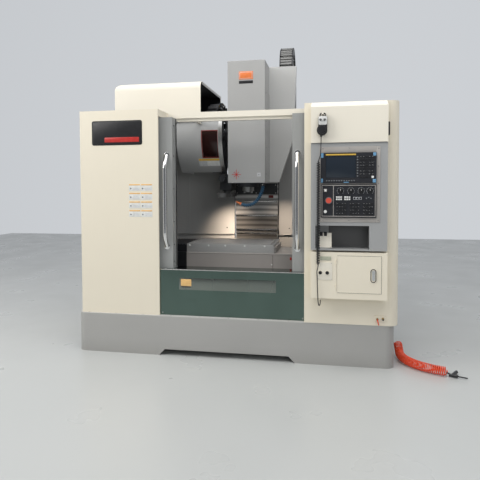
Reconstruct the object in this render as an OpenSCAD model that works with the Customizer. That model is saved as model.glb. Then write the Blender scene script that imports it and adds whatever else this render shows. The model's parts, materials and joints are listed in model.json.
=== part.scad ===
// Vertical machining centre with an open topped splash enclosure, two sliding doors,
// a disc tool magazine with a change arm, and an operator station on the right.
// X runs to the operator's right, Y into the machine, Z up. The floor is Z = 0.

/* [Base pan] */
// Left end of the pan
pan_left = -1300; // [-1400:10:-1290]
// Right end of the pan
pan_right = 1273; // [1273:1:1290]
// Front face of the pan
pan_front = -1000; // [-1000:1:-995]
// Rear face of the pan
pan_rear = 1100; // [1095:5:1110]
// Height of the pan
pan_h = 326; // [326:1:330]
// Radius of the pan's upright corners
pan_r = 70; // [40:5:100]
// Thickness of the pan's sheet
pan_t = 4; // [3:0.5:6]
// Height of the recess under the front
kick_h = 50; // [30:5:90]

/* [Machine] */
// Centre line of the bed, column and spindle
axis_x = 30; // [28:1:32]
// Width of the bed casting
bed_w = 700; // [660:10:740]
// Top face of the bed
bed_top = 560; // [540:5:565]
// Width of the column
column_w = 460; // [440:5:460]
// Front face of the column
column_front = 350; // [348:1:352]
// Height of the column's top
column_top = 2330; // [2250:10:2400]
// Distance from the centre line to each upright guide rail
z_rail_x = 165; // [155:5:170]
// Distance from the centre line to each guide rail of the saddle
y_rail_x = 230; // [200:10:250]

/* [Table] */
// Length of the table
table_l = 780; // [700:10:780]
// Depth of the table
table_d = 500; // [480:5:500]
// Thickness of the table
table_t = 75; // [60:5:90]
// Height of the table's top
table_top = 872; // [865:1:880]
// How far the table stands left of the centre line at rest
table_offset = 108; // [100:1:112]
// Front face of the table at rest
table_front = -570; // [-575:1:-565]
// Width of a T slot's neck
slot_w = 18; // [14:1:22]
// Distance between T slots
slot_pitch = 100; // [80:5:100]
// Length of each sliding shield beside the table
shield_l = 330; // [326:1:334]

/* [Head] */
// Left side of the head cover
head_left = -136; // [-140:1:-130]
// Right side of the head cover
head_right = 206; // [200:1:210]
// Front face of the head cover
head_front = -350; // [-355:1:-345]
// Underside of the head cover
head_bottom = 1414; // [1410:1:1420]
// Top of the head cover
head_top = 2524; // [2480:5:2540]
// Depth of the head cover
head_depth = 320; // [310:1:325]
// Spindle's place in Y
spindle_y = -220; // [-222:1:-215]
// Lower end of the spindle nose
nose_z = 1327; // [1325:1:1330]
// Diameter of the spindle nose
nose_d = 88; // [70:2:100]

/* [Enclosure] */
// Height of the side covers' top
cover_top = 2007; // [2005:1:2040]
// Left side of the left cover
cover_left = -1264; // [-1280:1:-1255]
// Right edge of the left cover, where the door opening starts
opening_left = -580; // [-590:1:-575]
// Left edge of the right cover, where the door opening ends
opening_right = 599; // [595:1:605]
// Front face of the left cover
cover_front = -985; // [-990:1:-980]
// Thickness of the cover sheets
sheet = 4; // [2:0.5:4]
// Top of the polished apron below the doors
apron_top = 706; // [690:1:720]
// Front face of the doors
door_front = -935; // [-935:1:-932]
// Depth of the doors' edge posts
door_depth = 119; // [100:1:125]
// Width of each door
door_w = 644; // [620:1:650]
// How far each door slides
door_travel = 485; // [400:5:485]

/* [Tool magazine] */
// Outer radius of the magazine guard
guard_r = 430; // [425:1:432]
// Height of the magazine's axis
guard_z = 1870; // [1865:1:1875]
// Y of the magazine's axis
guard_y = 145; // [140:1:150]
// Number of tool pots
pot_count = 24; // [12:2:24]
// Radius of the circle of pots
pot_circle = 318; // [318:1:325]
// Diameter of one pot
pot_d = 64; // [50:2:70]
// Reach of the change arm from its shaft to the tool's centre
arm_reach = 256; // [240:2:260]

/* [Operator station] */
// Left side of the console
console_left = 653; // [648:1:656]
// Width of the console
console_w = 553; // [545:1:560]
// How far the hood stands out from the right cover
console_out = 90; // [80:1:95]
// Diameter of the emergency stop's head
estop_d = 40; // [32:1:44]
// Diameter of the rotary knobs
knob_d = 30; // [24:1:34]
// Diameter of the handwheel
wheel_d = 72; // [60:1:76]

/* [Hidden] */
$fn = 48;
// Seat between parts of different bodies
seat = 0.3;
// Radial running clearance of shafts
run = 0.06;
cream = "#e8e0cc";
grey = "#a3a4a2";
steel = "#b9bcbd";
dark = "#33363a";
iron = "#7d8285";

// A box between two corners
module box(x0, x1, y0, y1, z0, z1) {
  translate([x0, y0, z0]) cube([x1 - x0, y1 - y0, z1 - z0]);
}
// Round bars along each axis, from a start point
module bar_x(x0, x1, y, z, d) { translate([x0, y, z]) rotate([0, 90, 0]) cylinder(h = x1 - x0, d = d); }
module bar_y(x, y0, y1, z, d) { translate([x, y0, z]) rotate([-90, 0, 0]) cylinder(h = y1 - y0, d = d); }
module bar_z(x, y, z0, z1, d) { translate([x, y, z0]) cylinder(h = z1 - z0, d = d); }
// A rectangle with round corners
module round_rect(x0, x1, y0, y1, r) {
  translate([x0 + r, y0]) square([x1 - x0 - 2 * r, y1 - y0]);
  translate([x0, y0 + r]) square([x1 - x0, y1 - y0 - 2 * r]);
  for (x = [x0 + r, x1 - r], y = [y0 + r, y1 - r]) translate([x, y]) circle(r = r);
}
// Extrusions of outlines drawn in the plan, in the YZ plane and in the XZ plane
module along_x(x0, x1) { translate([x0, 0, 0]) rotate([90, 0, 90]) linear_extrude(x1 - x0) children(); }
module along_y(y0, y1) { translate([0, y1, 0]) rotate([90, 0, 0]) linear_extrude(y1 - y0) children(); }
module along_z(z0, z1) { translate([0, 0, z0]) linear_extrude(z1 - z0) children(); }

pan_deck = 120;
bed_front = -820;
bed_rear = 1040;
bed_foot = 80;
bed_left = axis_x - bed_w / 2;
bed_right = axis_x + bed_w / 2;
bed_gap = 8;

module pan_plan(inset) {
  round_rect(pan_left + inset, pan_right - inset, pan_front + inset, pan_rear - inset, pan_r - inset);
}
module base_pan() {
  kick_l = opening_left - 3;
  kick_r = 527;
  color(grey) difference() {
    union() {
      difference() {
        along_z(0, pan_h) pan_plan(0);
        along_z(-1, pan_h + 1) pan_plan(pan_t);
      }
      // Deck that carries the covers, and the tray's floor round the bed
      difference() {
        union() {
          along_z(pan_h - pan_t, pan_h) pan_plan(pan_t / 2);
          along_z(kick_h + 10, kick_h + 10 + pan_t) pan_plan(pan_t / 2);
        }
        box(bed_left - bed_gap, bed_right + bed_gap, bed_front - bed_gap, bed_rear + bed_gap, -1, pan_h + 1);
        box(pan_left + pan_deck, pan_right - pan_deck, pan_front + pan_deck, 500, kick_h + 11 + pan_t,
          pan_h + 1);
      }
      // Upstand that keeps the coolant off the bed
      difference() {
        box(bed_left - bed_gap - pan_t, bed_right + bed_gap + pan_t, bed_front - bed_gap - pan_t,
          bed_rear + bed_gap + pan_t, kick_h + 10, pan_h - 60);
        box(bed_left - bed_gap, bed_right + bed_gap, bed_front - bed_gap, bed_rear + bed_gap, 0, pan_h);
      }
    }
    along_y(pan_front - 1, pan_front + pan_r)
      polygon([[kick_l, -1], [kick_l + kick_h, kick_h], [kick_r - kick_h, kick_h], [kick_r, -1]]);
  }
}

module levelling_feet() {
  pad_d = 120;
  color(dark) for (x = [-1, 1], y = [bed_front + 100, 60, bed_rear - 100])
    translate([axis_x + x * (bed_w / 2 - 80), y, 0]) {
      cylinder(h = 14, d = pad_d);
      translate([0, 0, 14]) cylinder(h = 12, d1 = pad_d - 20, d2 = 60);
      translate([0, 0, 26]) cylinder(h = 20, d = 46, $fn = 6);
      cylinder(h = bed_foot - 8, d = 24);
      translate([0, 0, bed_foot - 8]) cylinder(h = 8, d = 56);
    }
}

module bed() {
  pocket_w = 90;
  color(iron) difference() {
    union() {
      box(bed_left, bed_right, bed_front, bed_rear, bed_foot, bed_foot + 60);
      box(bed_left + 30, bed_right - 30, bed_front + 20, bed_rear, bed_foot, bed_top);
    }
    // Trough for the saddle's screw between the ways
    box(axis_x - 120, axis_x + 120, bed_front - 1, column_front - 60, bed_top - 120, bed_top + 1);
    // Cored pockets along both sides
    for (s = [0, 1], k = [0:7])
      box(s == 0 ? bed_left - 1 : bed_right - pocket_w, s == 0 ? bed_left + pocket_w : bed_right + 1,
        bed_front + 100 + k * 220, bed_front + 250 + k * 220, bed_foot + 110, bed_top - 150);
    // Hollow underside
    box(bed_left + 150, bed_right - 150, bed_front + 80, bed_rear - 80, bed_foot - 1, bed_top - 200);
  }
}

rail_w = 35;
rail_h = 30;
z_rail_low = bed_top + 120;
module rail_outline() {
  polygon([[-rail_w / 2, 0], [rail_w / 2, 0], [rail_w / 2, rail_h * 0.35], [rail_w / 2 - 5, rail_h * 0.5],
    [rail_w / 2 - 5, rail_h * 0.62], [rail_w / 2, rail_h * 0.8], [rail_w / 2, rail_h], [-rail_w / 2, rail_h],
    [-rail_w / 2, rail_h * 0.8], [-rail_w / 2 + 5, rail_h * 0.62], [-rail_w / 2 + 5, rail_h * 0.5],
    [-rail_w / 2, rail_h * 0.35]]);
}
module guide_rails() {
  color(steel) for (s = [-1, 1]) {
    translate([axis_x + s * y_rail_x, 0, bed_top]) along_y(bed_front + 60, column_front - 60) rail_outline();
    translate([axis_x + s * z_rail_x, column_front, 0]) along_z(z_rail_low, column_top - 60)
      rotate(180) rail_outline();
  }
}

column_left = axis_x - column_w / 2;
column_right = axis_x + column_w / 2;
column_rear = 1000;
chain_x0 = 304;
chain_w = 126;
chain_t = 60;
chain_r = 185;
chain_front = head_front + head_depth + 3 + seat;
chain_y0 = chain_front + chain_t / 2;
chain_y1 = chain_y0 + 2 * chain_r;
tray_z0 = 1900;
tray_z1 = 2420;
module column() {
  tray_t = 3;
  tray_y = chain_y1 + chain_t / 2 + seat;
  color(iron) {
    difference() {
      intersection() {
        along_y(column_front, column_rear) polygon([[axis_x - 320, bed_top], [axis_x + 320, bed_top],
          [axis_x + 320, bed_top + 70], [column_right, bed_top + 260], [column_right, column_top],
          [column_left, column_top], [column_left, bed_top + 260], [axis_x - 320, bed_top + 70]]);
        along_x(axis_x - 330, axis_x + 330) polygon([[column_front, bed_top], [column_rear, bed_top],
          [column_rear, bed_top + 300], [column_rear - 140, column_top], [column_front, column_top]]);
      }
      // Slot for the head's screw, and cored windows in the back
      box(axis_x - 110, axis_x + 110, column_front - 1, column_front + 120, bed_top + 90, column_top + 1);
      for (k = [0:3]) translate([0, 0, bed_top + 170 + k * 400])
        box(axis_x - 130, axis_x + 130, column_rear - 260, column_rear + 1, 0, 280);
    }
  }
  // Tray that guides the rear run of the cable chain
  color(grey) {
    box(column_right, chain_x0 + chain_w + 4, tray_y, tray_y + tray_t, tray_z0, tray_z1);
    side_x = chain_x0 + chain_w + 1 + seat;
    box(side_x, side_x + tray_t, tray_y - 50, tray_y + tray_t, tray_z0, tray_z1);
    box(column_right, column_right + tray_t, column_front + 40, tray_y + tray_t, tray_z0, tray_z1);
  }
}

module servo(len) {
  box(-65, 65, -65, 65, 0, 12);
  along_z(12, len - 60) round_rect(-60, 60, -60, 60, 12);
  along_z(len - 60, len) round_rect(-50, 50, -50, 50, 10);
  box(-20, 20, 48, 70, len - 90, len - 50);
}
module drive_motors() {
  color(dark) {
    // Motor of the head's screw, on its bracket at the column's top
    translate([axis_x, column_front + 60, column_top + 14]) servo(240);
    box(axis_x - 125, axis_x + 125, column_front + 5, column_front + 200, column_top, column_top + 14);
    // Motor of the saddle's screw at the bed's rear end
    translate([axis_x, bed_rear, 410]) rotate([-90, 0, 0]) servo(126);
  }
}

rear_y = 300;
deck_y = cover_front + 248;
post_h = 55;
module left_cover() {
  color(cream) {
    box(cover_left, opening_left, cover_front, cover_front + sheet, pan_h, cover_top);
    box(cover_left, cover_left + sheet, cover_front, rear_y, pan_h, cover_top);
    box(cover_left, opening_left, cover_front, deck_y, cover_top - sheet, cover_top);
    box(opening_left - sheet, opening_left, cover_front, deck_y, cover_top - post_h, cover_top);
    box(cover_left, cover_left + 60, rear_y - sheet, rear_y, pan_h, cover_top);
    // Foot flange on the pan's deck
    box(cover_left, opening_left, cover_front, apron_y - seat, pan_h, pan_h + sheet);
    // Returned edge beside the door
    box(opening_left - sheet, opening_left, cover_front, cover_front + 16, pan_h, cover_top);
  }
}

right_front = -1005;
right_side = 1300;
right_r = 70;
console_right = console_left + console_w;
fascia_y = right_front - console_out + 10;
fascia_z0 = 898;
fascia_z1 = 1695;
box_z0 = 540;
box_z1 = 885;
box_front = right_front - 100;
cubby = [686, 1077, 909, 1083];
cubby_depth = 125;
module right_plan(inset, front) {
  translate([opening_right + inset, front]) square([right_side - right_r - opening_right - inset, 400]);
  translate([opening_right + inset, right_front + right_r])
    square([right_side - opening_right - 2 * inset, rear_y - right_front - right_r - inset]);
  translate([right_side - right_r, right_front + right_r]) circle(r = right_r - inset);
}
module right_cover() {
  color(cream) difference() {
    union() {
      // Front, rounded corner and side, folded from one sheet
      difference() {
        along_z(pan_h, cover_top + 1) right_plan(0, right_front);
        along_z(pan_h - 1, cover_top + 2) right_plan(sheet, right_front + sheet);
        box(opening_right - 1, opening_right + sheet + 1, right_front + 45, rear_y + 1, 0, cover_top + 2);
        box(opening_right - 1, right_side - 60, rear_y - 100, rear_y + 1, 0, cover_top + 2);
      }
      difference() {
        along_z(cover_top + 1 - sheet, cover_top + 1) right_plan(sheet / 2, right_front + sheet / 2);
        box(opening_right - 1, right_side + 1, deck_y, rear_y + 1, 0, cover_top + 2);
      }
    }
    // Opening behind the console's fascia
    box(console_left + 20, console_right - 20, right_front - 1, right_front + sheet + 1,
      fascia_z0 + 5, fascia_z1 - 5);
  }
  // Foot flanges on the pan's deck
  color(cream) {
    box(opening_right + 1, right_side - right_r, right_front + 2, right_front + 60, pan_h, pan_h + sheet);
    box(right_side - right_r, right_side - 2, -700, rear_y - 20, pan_h, pan_h + sheet);
  }
}

beam_y1 = deck_y + 60;
beam_z0 = 1960;
rail_z0 = 1934;
roller_y = deck_y + 32;
module header_beam() {
  color(cream) difference() {
    union() {
      box(cover_left + sheet, right_side - sheet, deck_y, beam_y1, beam_z0, cover_top + 3);
      // Track that the door rollers run in
      box(cover_left + sheet, right_side - sheet, roller_y - 16, roller_y + 16, rail_z0, beam_z0 + 1);
    }
    box(cover_left, right_side, deck_y + 3, beam_y1 - 3, beam_z0 + 3, cover_top);
    box(cover_left, right_side, roller_y - 13, roller_y + 13, rail_z0 + 3, beam_z0 - 2);
    box(cover_left, right_side, roller_y - 5, roller_y + 5, rail_z0 - 1, rail_z0 + 4);
  }
}

apron_y = -965;
shelf_y = door_front + door_depth + 10;
module front_apron() {
  color(steel) {
    box(opening_left - 20, opening_right - seat, apron_y, apron_y + 3, pan_h, apron_top);
    box(opening_left - 20, opening_right - seat, apron_y, shelf_y, apron_top - 3, apron_top);
    box(opening_left - 20, opening_right - seat, shelf_y - 3, shelf_y, apron_top - 40, apron_top);
    box(opening_left - 20, opening_right - seat, apron_y, apron_y + 40, pan_h, pan_h + 3);
  }
}

liner_left = -1020;
liner_right = 1082;
liner_t = 3;
liner_floor = bed_top;
liner_side_top = 1912;
back_left_top = 1500;
back_right_top = 1950;
zc_w = 450;
door_back = door_front + door_depth;
module chamber_liner() {
  liner_front = shelf_y + 3;
  gate_l = axis_x - zc_w / 2 - 9;
  gate_r = axis_x + zc_w / 2 + 9;
  color("#8d8f8e") {
    box(liner_left - liner_t, liner_left, liner_front, rear_y + liner_t, liner_floor, liner_side_top);
    box(liner_right, liner_right + liner_t, liner_front, rear_y + liner_t, liner_floor, liner_side_top);
    box(liner_left, gate_l, rear_y, rear_y + liner_t, liner_floor, back_left_top);
    box(gate_r, liner_right, rear_y, rear_y + liner_t, liner_floor, back_right_top);
    box(gate_l - 1, gate_r + 1, rear_y, rear_y + liner_t, liner_floor, bed_top + 60);
    // Drip ledges at the foot of the back wall
    box(liner_left, gate_l, rear_y - 22, rear_y + 1, table_top + 8, table_top + 12);
    box(gate_r, liner_right, rear_y - 22, rear_y + 1, table_top + 8, table_top + 12);
    // Floor sheets either side of the bed, and the sill in front of it
    difference() {
      box(liner_left - liner_t, liner_right + liner_t,
        liner_front, rear_y + liner_t, liner_floor - 4, liner_floor);
      box(bed_left + 28, bed_right - 28, bed_front + 18, rear_y + 10, 0, liner_floor + 1);
    }
    box(liner_left - liner_t, liner_right + liner_t, liner_front, liner_front + liner_t,
      liner_floor - 4, liner_floor + 36);
    // Legs that carry the floor on the pan's tray
    for (x = [liner_left, liner_right - 40], y = [liner_front + 20, rear_y - 120])
      box(x, x + 40, y, y + 40, kick_h + 10 + pan_t, liner_floor - 4);
  }
}

hood_l = -1262;
hood_r = -407;
hood_y0 = -300;
hood_y1 = 563;
hood_z0 = cover_top + 4;
hood_z1 = 2375;
hood_rad = 70;
module hood_solid(inset) {
  intersection() {
    along_x(hood_l + inset, hood_r + inset) difference() {
      translate([hood_y0 + inset, hood_z0 - inset])
        square([hood_y1 - hood_y0 - 2 * inset, hood_z1 - hood_z0]);
      difference() {
        translate([hood_y0 - 1, hood_z1 - hood_rad]) square(hood_rad + 1);
        translate([hood_y0 + hood_rad, hood_z1 - hood_rad]) circle(r = hood_rad - inset);
      }
    }
    along_y(hood_y0 - 1, hood_y1 + 1) difference() {
      translate([hood_l + inset, hood_z0 - inset]) square([hood_r - hood_l, hood_z1 - hood_z0]);
      difference() {
        translate([hood_l - 1, hood_z1 - hood_rad]) square(hood_rad + 1);
        translate([hood_l + hood_rad, hood_z1 - hood_rad]) circle(r = hood_rad - inset);
      }
    }
  }
}
module magazine_hood() {
  color(cream) {
    difference() {
      hood_solid(0);
      hood_solid(sheet);
    }
    // Struts down to the enclosure's frame
    for (y = [hood_y0 + 30, rear_y - 60]) box(cover_left, hood_l + 32, y, y + 30, cover_top, hood_z0 + 60);
    box(hood_r - 30, hood_r, hood_y0, hood_y0 + 20, beam_z0 + 40, hood_z0 + 60);
    box(hood_r - 30, hood_r, beam_y1, hood_y0 + 20, beam_z0 + 10, beam_z0 + 40);
  }
}

arm_x = -205;
arm_y = -60;
arm_top = 1318;
arm_t = 38;
shaft_d = 50;
gear_h = 164;
gear_z0 = arm_top + 18;
gear_z1 = gear_z0 + gear_h;

guard_x0 = -650;
guard_x1 = -207;
guard_gap = 20;
guard_cut = gear_z1 + guard_gap;
guard_up = hood_z0 - 11;
window = [-400, -252, guard_cut + 140, guard_up - 98];
module guard_ring(x0, x1, r0, r1) {
  difference() {
    bar_x(x0, x1, guard_y, guard_z, 2 * r1);
    bar_x(x0 - 1, x1 + 1, guard_y, guard_z, 2 * r0);
  }
}
module magazine_guard() {
  color(grey) difference() {
    union() {
      guard_ring(guard_x0, guard_x1, guard_r - sheet, guard_r, $fn = 96);
      guard_ring(guard_x1 - 40, guard_x1, guard_r - sheet, guard_r + 4, $fn = 96);
      bar_x(guard_x0, guard_x0 + sheet, guard_y, guard_z, 2 * guard_r, $fn = 96);
    }
    box(guard_x0 - 1, guard_x1 + 1, guard_y - 500, guard_y + 500, guard_z - 500, guard_cut);
    box(guard_x0 - 1, guard_x1 + 1, guard_y - 500, guard_y + 500, guard_up, guard_z + 500);
    box(guard_x0 - 1, guard_x1 + 1, column_front - 20, guard_y + 500, guard_cut - 1, guard_up + 1);
    box(window[0], window[1], guard_y - 500, guard_y - 200, window[2], window[3]);
  }
}
module magazine_window() {
  lap = 14;
  color("#3a1a12") intersection() {
    guard_ring(window[0] - lap, window[1] + lap / 2, guard_r - sheet - 3.3, guard_r - sheet - seat, $fn = 96);
    box(window[0] - 100, window[1] + 100, guard_y - 500, guard_y - 200, window[2] - lap, window[3] + lap);
  }
}

disc_x0 = -300;
disc_x1 = -290;
pot_len = 100;
hub_d = 50;
module magazine_disc() {
  color(dark) difference() {
    union() {
      bar_x(disc_x0, disc_x1, guard_y, guard_z, 2 * (pot_circle + pot_d / 2 + 8), $fn = 96);
      bar_x(disc_x0 - 30, disc_x1 + 20, guard_y, guard_z, 130);
      for (k = [0:pot_count - 1]) rotate_about_magazine(k * 360 / pot_count) {
        bar_x(disc_x0 - pot_len, disc_x0 + 1, guard_y, guard_z + pot_circle, pot_d);
        bar_x(disc_x1 - 1, disc_x1 + 24, guard_y, guard_z + pot_circle, 34);
      }
    }
    bar_x(disc_x0 - 31, disc_x1 + 21, guard_y, guard_z, hub_d + 2 * run);
    for (k = [0:pot_count - 1]) rotate_about_magazine(k * 360 / pot_count)
      bar_x(disc_x0 - pot_len - 1, disc_x0 - 12, guard_y, guard_z + pot_circle, 44);
    for (k = [0:5]) rotate_about_magazine(k * 60 + 30)
      bar_x(disc_x0 - 1, disc_x1 + 1, guard_y, guard_z + 175, 120);
  }
}
module rotate_about_magazine(a) {
  translate([0, guard_y, guard_z]) rotate([a, 0, 0]) translate([0, -guard_y, -guard_z]) children();
}

module atc_gearbox() {
  color(iron) difference() {
    union() {
      // Beam that bolts to the column's side, with the fixed axle of the disc and the guard
      box(-262, column_left, guard_y - 60, 640, guard_z - 60, guard_z + 60);
      bar_x(guard_x0 + sheet, -262 + 1, guard_y, guard_z, hub_d);
      bar_x(disc_x0 - 44, disc_x0 - 30 - seat, guard_y, guard_z, hub_d + 30);
      bar_x(disc_x1 + 20 + seat, -262 + 1, guard_y, guard_z, hub_d + 30);
      // Hanger plate, and the cam box with its shaft boss
      box(-262, -238, guard_y - 140, guard_y - 50, gear_z1 - 20, guard_z - 40);
      box(-262, -238, guard_y - 60, guard_y - 50, guard_z - 60, guard_z - 40);
      box(-262, -148, arm_y - 80, arm_y + 150, gear_z0 + 12, gear_z1 - 12);
      box(-252, -158, arm_y - 60, arm_y + 130, gear_z1 - 13, gear_z1);
      bar_z(arm_x, arm_y, gear_z0, gear_z0 + 13, 100);
      // Motor that turns the cam
      bar_y(-229, arm_y - 130, arm_y - 79, gear_z1 - 45, 68);
      bar_y(-229, arm_y - 140, arm_y - 129, gear_z1 - 45, 60);
    }
    bar_z(arm_x, arm_y, gear_z0 - 1, gear_z0 + 90, shaft_d + 2 * run);
  }
}
module change_arm() {
  jaw_r = 45;
  color(steel) difference() {
    union() {
      bar_z(arm_x, arm_y, arm_top - arm_t, gear_z0 + 85, shaft_d);
      bar_z(arm_x, arm_y, arm_top - arm_t, arm_top, 110);
      bar_z(arm_x, arm_y, arm_top, gear_z0 - seat, 70);
      box(arm_x - 32, arm_x + 32, arm_y - arm_reach, arm_y + arm_reach, arm_top - arm_t, arm_top - 6);
      for (s = [-1, 1]) bar_z(arm_x, arm_y + s * arm_reach, arm_top - arm_t, arm_top, 2 * jaw_r);
    }
    for (s = [-1, 1]) translate([arm_x, arm_y + s * arm_reach, 0]) {
      bar_z(0, 0, arm_top - arm_t - 1, arm_top + 1, 60);
      box(s > 0 ? 0 : -jaw_r - 1, s > 0 ? jaw_r + 1 : 0, -22, 22, arm_top - arm_t - 1, arm_top + 1);
    }
  }
}

zc_n = 4;
zc_h = 220;
zc_base_z = 775;
zc_step = 6;
zc_t = 3;
zc_top_z = 1220;
zc_front = 290;
// One folded plate of the telescopic cover; level 0 is the outermost, at the head
module z_plate(level, z0) {
  w = zc_w - level * 2 * (zc_t + 1);
  y0 = zc_front - 8 + level * zc_step;
  side = 20 - level * 3;
  color(steel) difference() {
    union() {
      box(axis_x - w / 2, axis_x + w / 2, y0, y0 + zc_t, z0, z0 + zc_h);
      for (s = [-1, 1]) translate([axis_x + s * (w / 2 - zc_t / 2), 0, 0])
        box(-zc_t / 2, zc_t / 2, y0, y0 + side, z0, z0 + zc_h);
      // Wiper lip behind the lower edge, running on the next plate
      if (level < zc_n - 1) box(axis_x - w / 2 + 8, axis_x + w / 2 - 8,
        y0 + 1, y0 + zc_step - 0.4, z0, z0 + 12);
    }
    // Pressed lines
    for (k = [0:3]) box(axis_x - w / 2 - 1, axis_x + w / 2 + 1,
      y0 - 1, y0 + 1.2, z0 + 20 + k * 54, z0 + 24 + k * 54);
  }
}
module z_cover_base() {
  z_plate(3, zc_base_z);
  // Brackets on the column's face
  color(steel) for (s = [-1, 1]) translate([axis_x + s * 122, 0, 0])
    box(-20, 20, zc_front - 8 + 3 * zc_step + 1, column_front, zc_base_z, zc_base_z + 30);
}
module z_cover_lower() { z_plate(2, zc_base_z + (zc_top_z - zc_base_z) / 3); }
module z_cover_upper() { z_plate(1, zc_base_z + (zc_top_z - zc_base_z) * 2 / 3); }
module z_cover_top() {
  z_plate(0, zc_top_z);
  // Hooks that hang the cover on the carriage
  color(steel) for (s = [-1, 1]) translate([axis_x + s * 100, 0, 0])
    box(-20, 20, zc_front - 7, zc_front + 6, zc_top_z + zc_h - 1, zc_top_z + zc_h + 24);
}

door_z0 = apron_top + 0.5;
door_z1 = 1945;
glass_z = [900, 1800];
door_post = 25;
// A door drawn with its leading edge at x = 0 and its body towards -x
module door_panel() {
  difference() {
    union() {
      box(-door_w, 0, door_front, door_front + 3, door_z0, door_z1);
      box(-door_post, 0, door_front, door_back, door_z0, door_z1);
      box(-door_w, -door_w + 20, door_front, door_back - 40, door_z0, door_z1);
      box(-door_w, 0, door_front, door_front + 40, door_z1 - 3, door_z1);
      box(-door_w, 0, door_front, door_front + 40, door_z0, door_z0 + 3);
      // Arms that reach back to the rollers in the header's track
      for (x = [-door_w + 30, -70]) {
        box(x, x + 60, door_front + 2, roller_y + 12, door_z1 - 18, door_z1 - 12);
        bar_z(x + 30, roller_y, door_z1 - 15, rail_z0 + 4, 8);
        bar_z(x + 30, roller_y, rail_z0 + 3 + seat, beam_z0 - 2 - seat, 25);
      }
    }
    box(-door_w + 60, -140, door_front - 1, door_front + 4, glass_z[0], glass_z[1]);
    // Recess down the leading edge
    box(-10, 1, door_front + 45, door_front + 75, door_z0 + 20, door_z1 - 60);
    box(-door_post + 3, -3, door_front + 3, door_front + 42, door_z0 + 20, door_z1 - 20);
  }
}
module door_pane() {
  box(-door_w + 45, -125, door_front + 3, door_front + 9, glass_z[0] - 15, glass_z[1] + 15);
}
handle_d = 36;
handle_out = 66;
module bow_handle() {
  z0 = 884;
  z1 = 1636;
  rise = 78;
  y1 = door_front - handle_out + handle_d / 2;
  for (z = [z0, z1]) bar_y(0, door_front - 4, door_front, z, handle_d + 14);
  bar_z(0, y1, z0 + rise, z1 - rise, handle_d);
  difference() {
    for (s = [0, 1]) translate([0, y1, s == 0 ? z0 + rise : z1 - rise]) {
      sphere(d = handle_d, $fn = 32);
      rotate([atan2(-(door_front - 2 - y1), s == 0 ? -rise : rise), 0, 0])
        cylinder(h = sqrt(pow(door_front - 2 - y1, 2) + rise * rise), d = handle_d);
    }
    // The bent legs end flat on the door
    box(-handle_d, handle_d, door_front, door_front + handle_d, z0 - handle_d, z1 + handle_d);
  }
}
left_edge = -476;
right_edge = 502;
module left_door() { color(grey) translate([left_edge, 0, 0]) door_panel(); }
module left_glass() { color("#9fb0b2") translate([left_edge, 0, 0]) door_pane(); }
module left_handle() { color("silver") translate([left_edge - 50, 0, 0]) bow_handle(); }
module right_door() { color(grey) translate([right_edge, 0, 0]) mirror([1, 0, 0]) door_panel(); }
module right_glass() { color("#9fb0b2") translate([right_edge, 0, 0]) mirror([1, 0, 0]) door_pane(); }
module right_handle() { color("silver") translate([right_edge + 40, 0, 0]) bow_handle(); }

table_left = axis_x - table_offset - table_l / 2;
table_right = table_left + table_l;
table_rear = table_front + table_d;
table_low = table_top - table_t;
saddle_front = table_front + 40;
saddle_rear = table_rear - 20;
saddle_z0 = bed_top + 80;
saddle_z1 = table_low - 57;
x_rail_y = 150;
block_t = 12;
skirt_z = 650;
tray_in = 710;
wing_in = 499;
wing_out = 1040;
// A carriage block over a guide rail: an arch with running clearance
module block_outline(w, h) {
  difference() {
    translate([-w / 2, 5]) square([w, h - 5]);
    translate([-rail_w / 2 - 0.4, -1]) square([rail_w + 0.8, rail_h + 1.4]);
  }
}
// One folded shield of the table; pad is the end that rubs on the next shield, -1 left, 1 right, 0 none
module shield(x0, x1, level, pad) {
  t = 3;
  y0 = table_front - 9 + level * 6;
  y1 = table_rear + 9 - level * 6;
  z1 = table_low - 1 - level * 6;
  box(x0, x1, y0, y1, z1 - t, z1);
  box(x0, x1, y0, y0 + t, skirt_z, z1);
  box(x0, x1, y1 - t, y1, skirt_z, z1);
  if (pad != 0) box(pad < 0 ? x0 : x1 - 12, pad < 0 ? x0 + 12 : x1,
    y0 + 20, y1 - 20, z1 - 6 + seat, z1 - t + 0.5);
}
module saddle() {
  mid_y = (saddle_front + saddle_rear) / 2;
  color(iron) {
    difference() {
      box(axis_x - 500, axis_x + 500, saddle_front, saddle_rear, saddle_z0, saddle_z1);
      for (s = [-1, 1]) box(axis_x + s * 400 - 70, axis_x + s * 400 + 70,
        saddle_front + 60, saddle_rear - 60, saddle_z0 - 1, saddle_z1 - 30);
      box(axis_x - 110, axis_x + 110, saddle_front - 1, saddle_rear + 1, saddle_z0 - 1, saddle_z0 + 30);
    }
    // Carriages on the bed's rails, and the table's own rails
    for (s = [-1, 1], y = [saddle_front + 10, saddle_rear - 110])
      translate([axis_x + s * y_rail_x, 0, bed_top])
        along_y(y, y + 100) block_outline(100, saddle_z0 - bed_top + 1);
    for (s = [-1, 1]) translate([0, mid_y + s * x_rail_y, saddle_z1]) rotate(90)
      along_y(-axis_x - 480, -axis_x + 480) rail_outline();
    // Wings that hold the fixed trays
    for (s = [-1, 1]) box(s < 0 ? axis_x - wing_out : axis_x + wing_in,
      s < 0 ? axis_x - wing_in : axis_x + wing_out,
      mid_y - 90, mid_y + 90, saddle_z1 - 60, table_low - 16);
  }
  color(grey) {
    shield(axis_x + tray_in, axis_x + wing_out, 2, 0);
    shield(axis_x - wing_out, axis_x - tray_in, 2, 0);
    // Cover over the front of the bed's ways
    box(axis_x - 330, axis_x + 330, -785, saddle_front + 1, bed_top + 38, bed_top + 41);
    box(axis_x - 330, axis_x + 330, saddle_front - 3, saddle_front + 1, bed_top + 38, saddle_z0 + 20);
    for (x = [axis_x - 330, axis_x + 320]) box(x, x + 10, -785, saddle_front + 1, bed_top + 38, bed_top + 50);
  }
}
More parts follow.
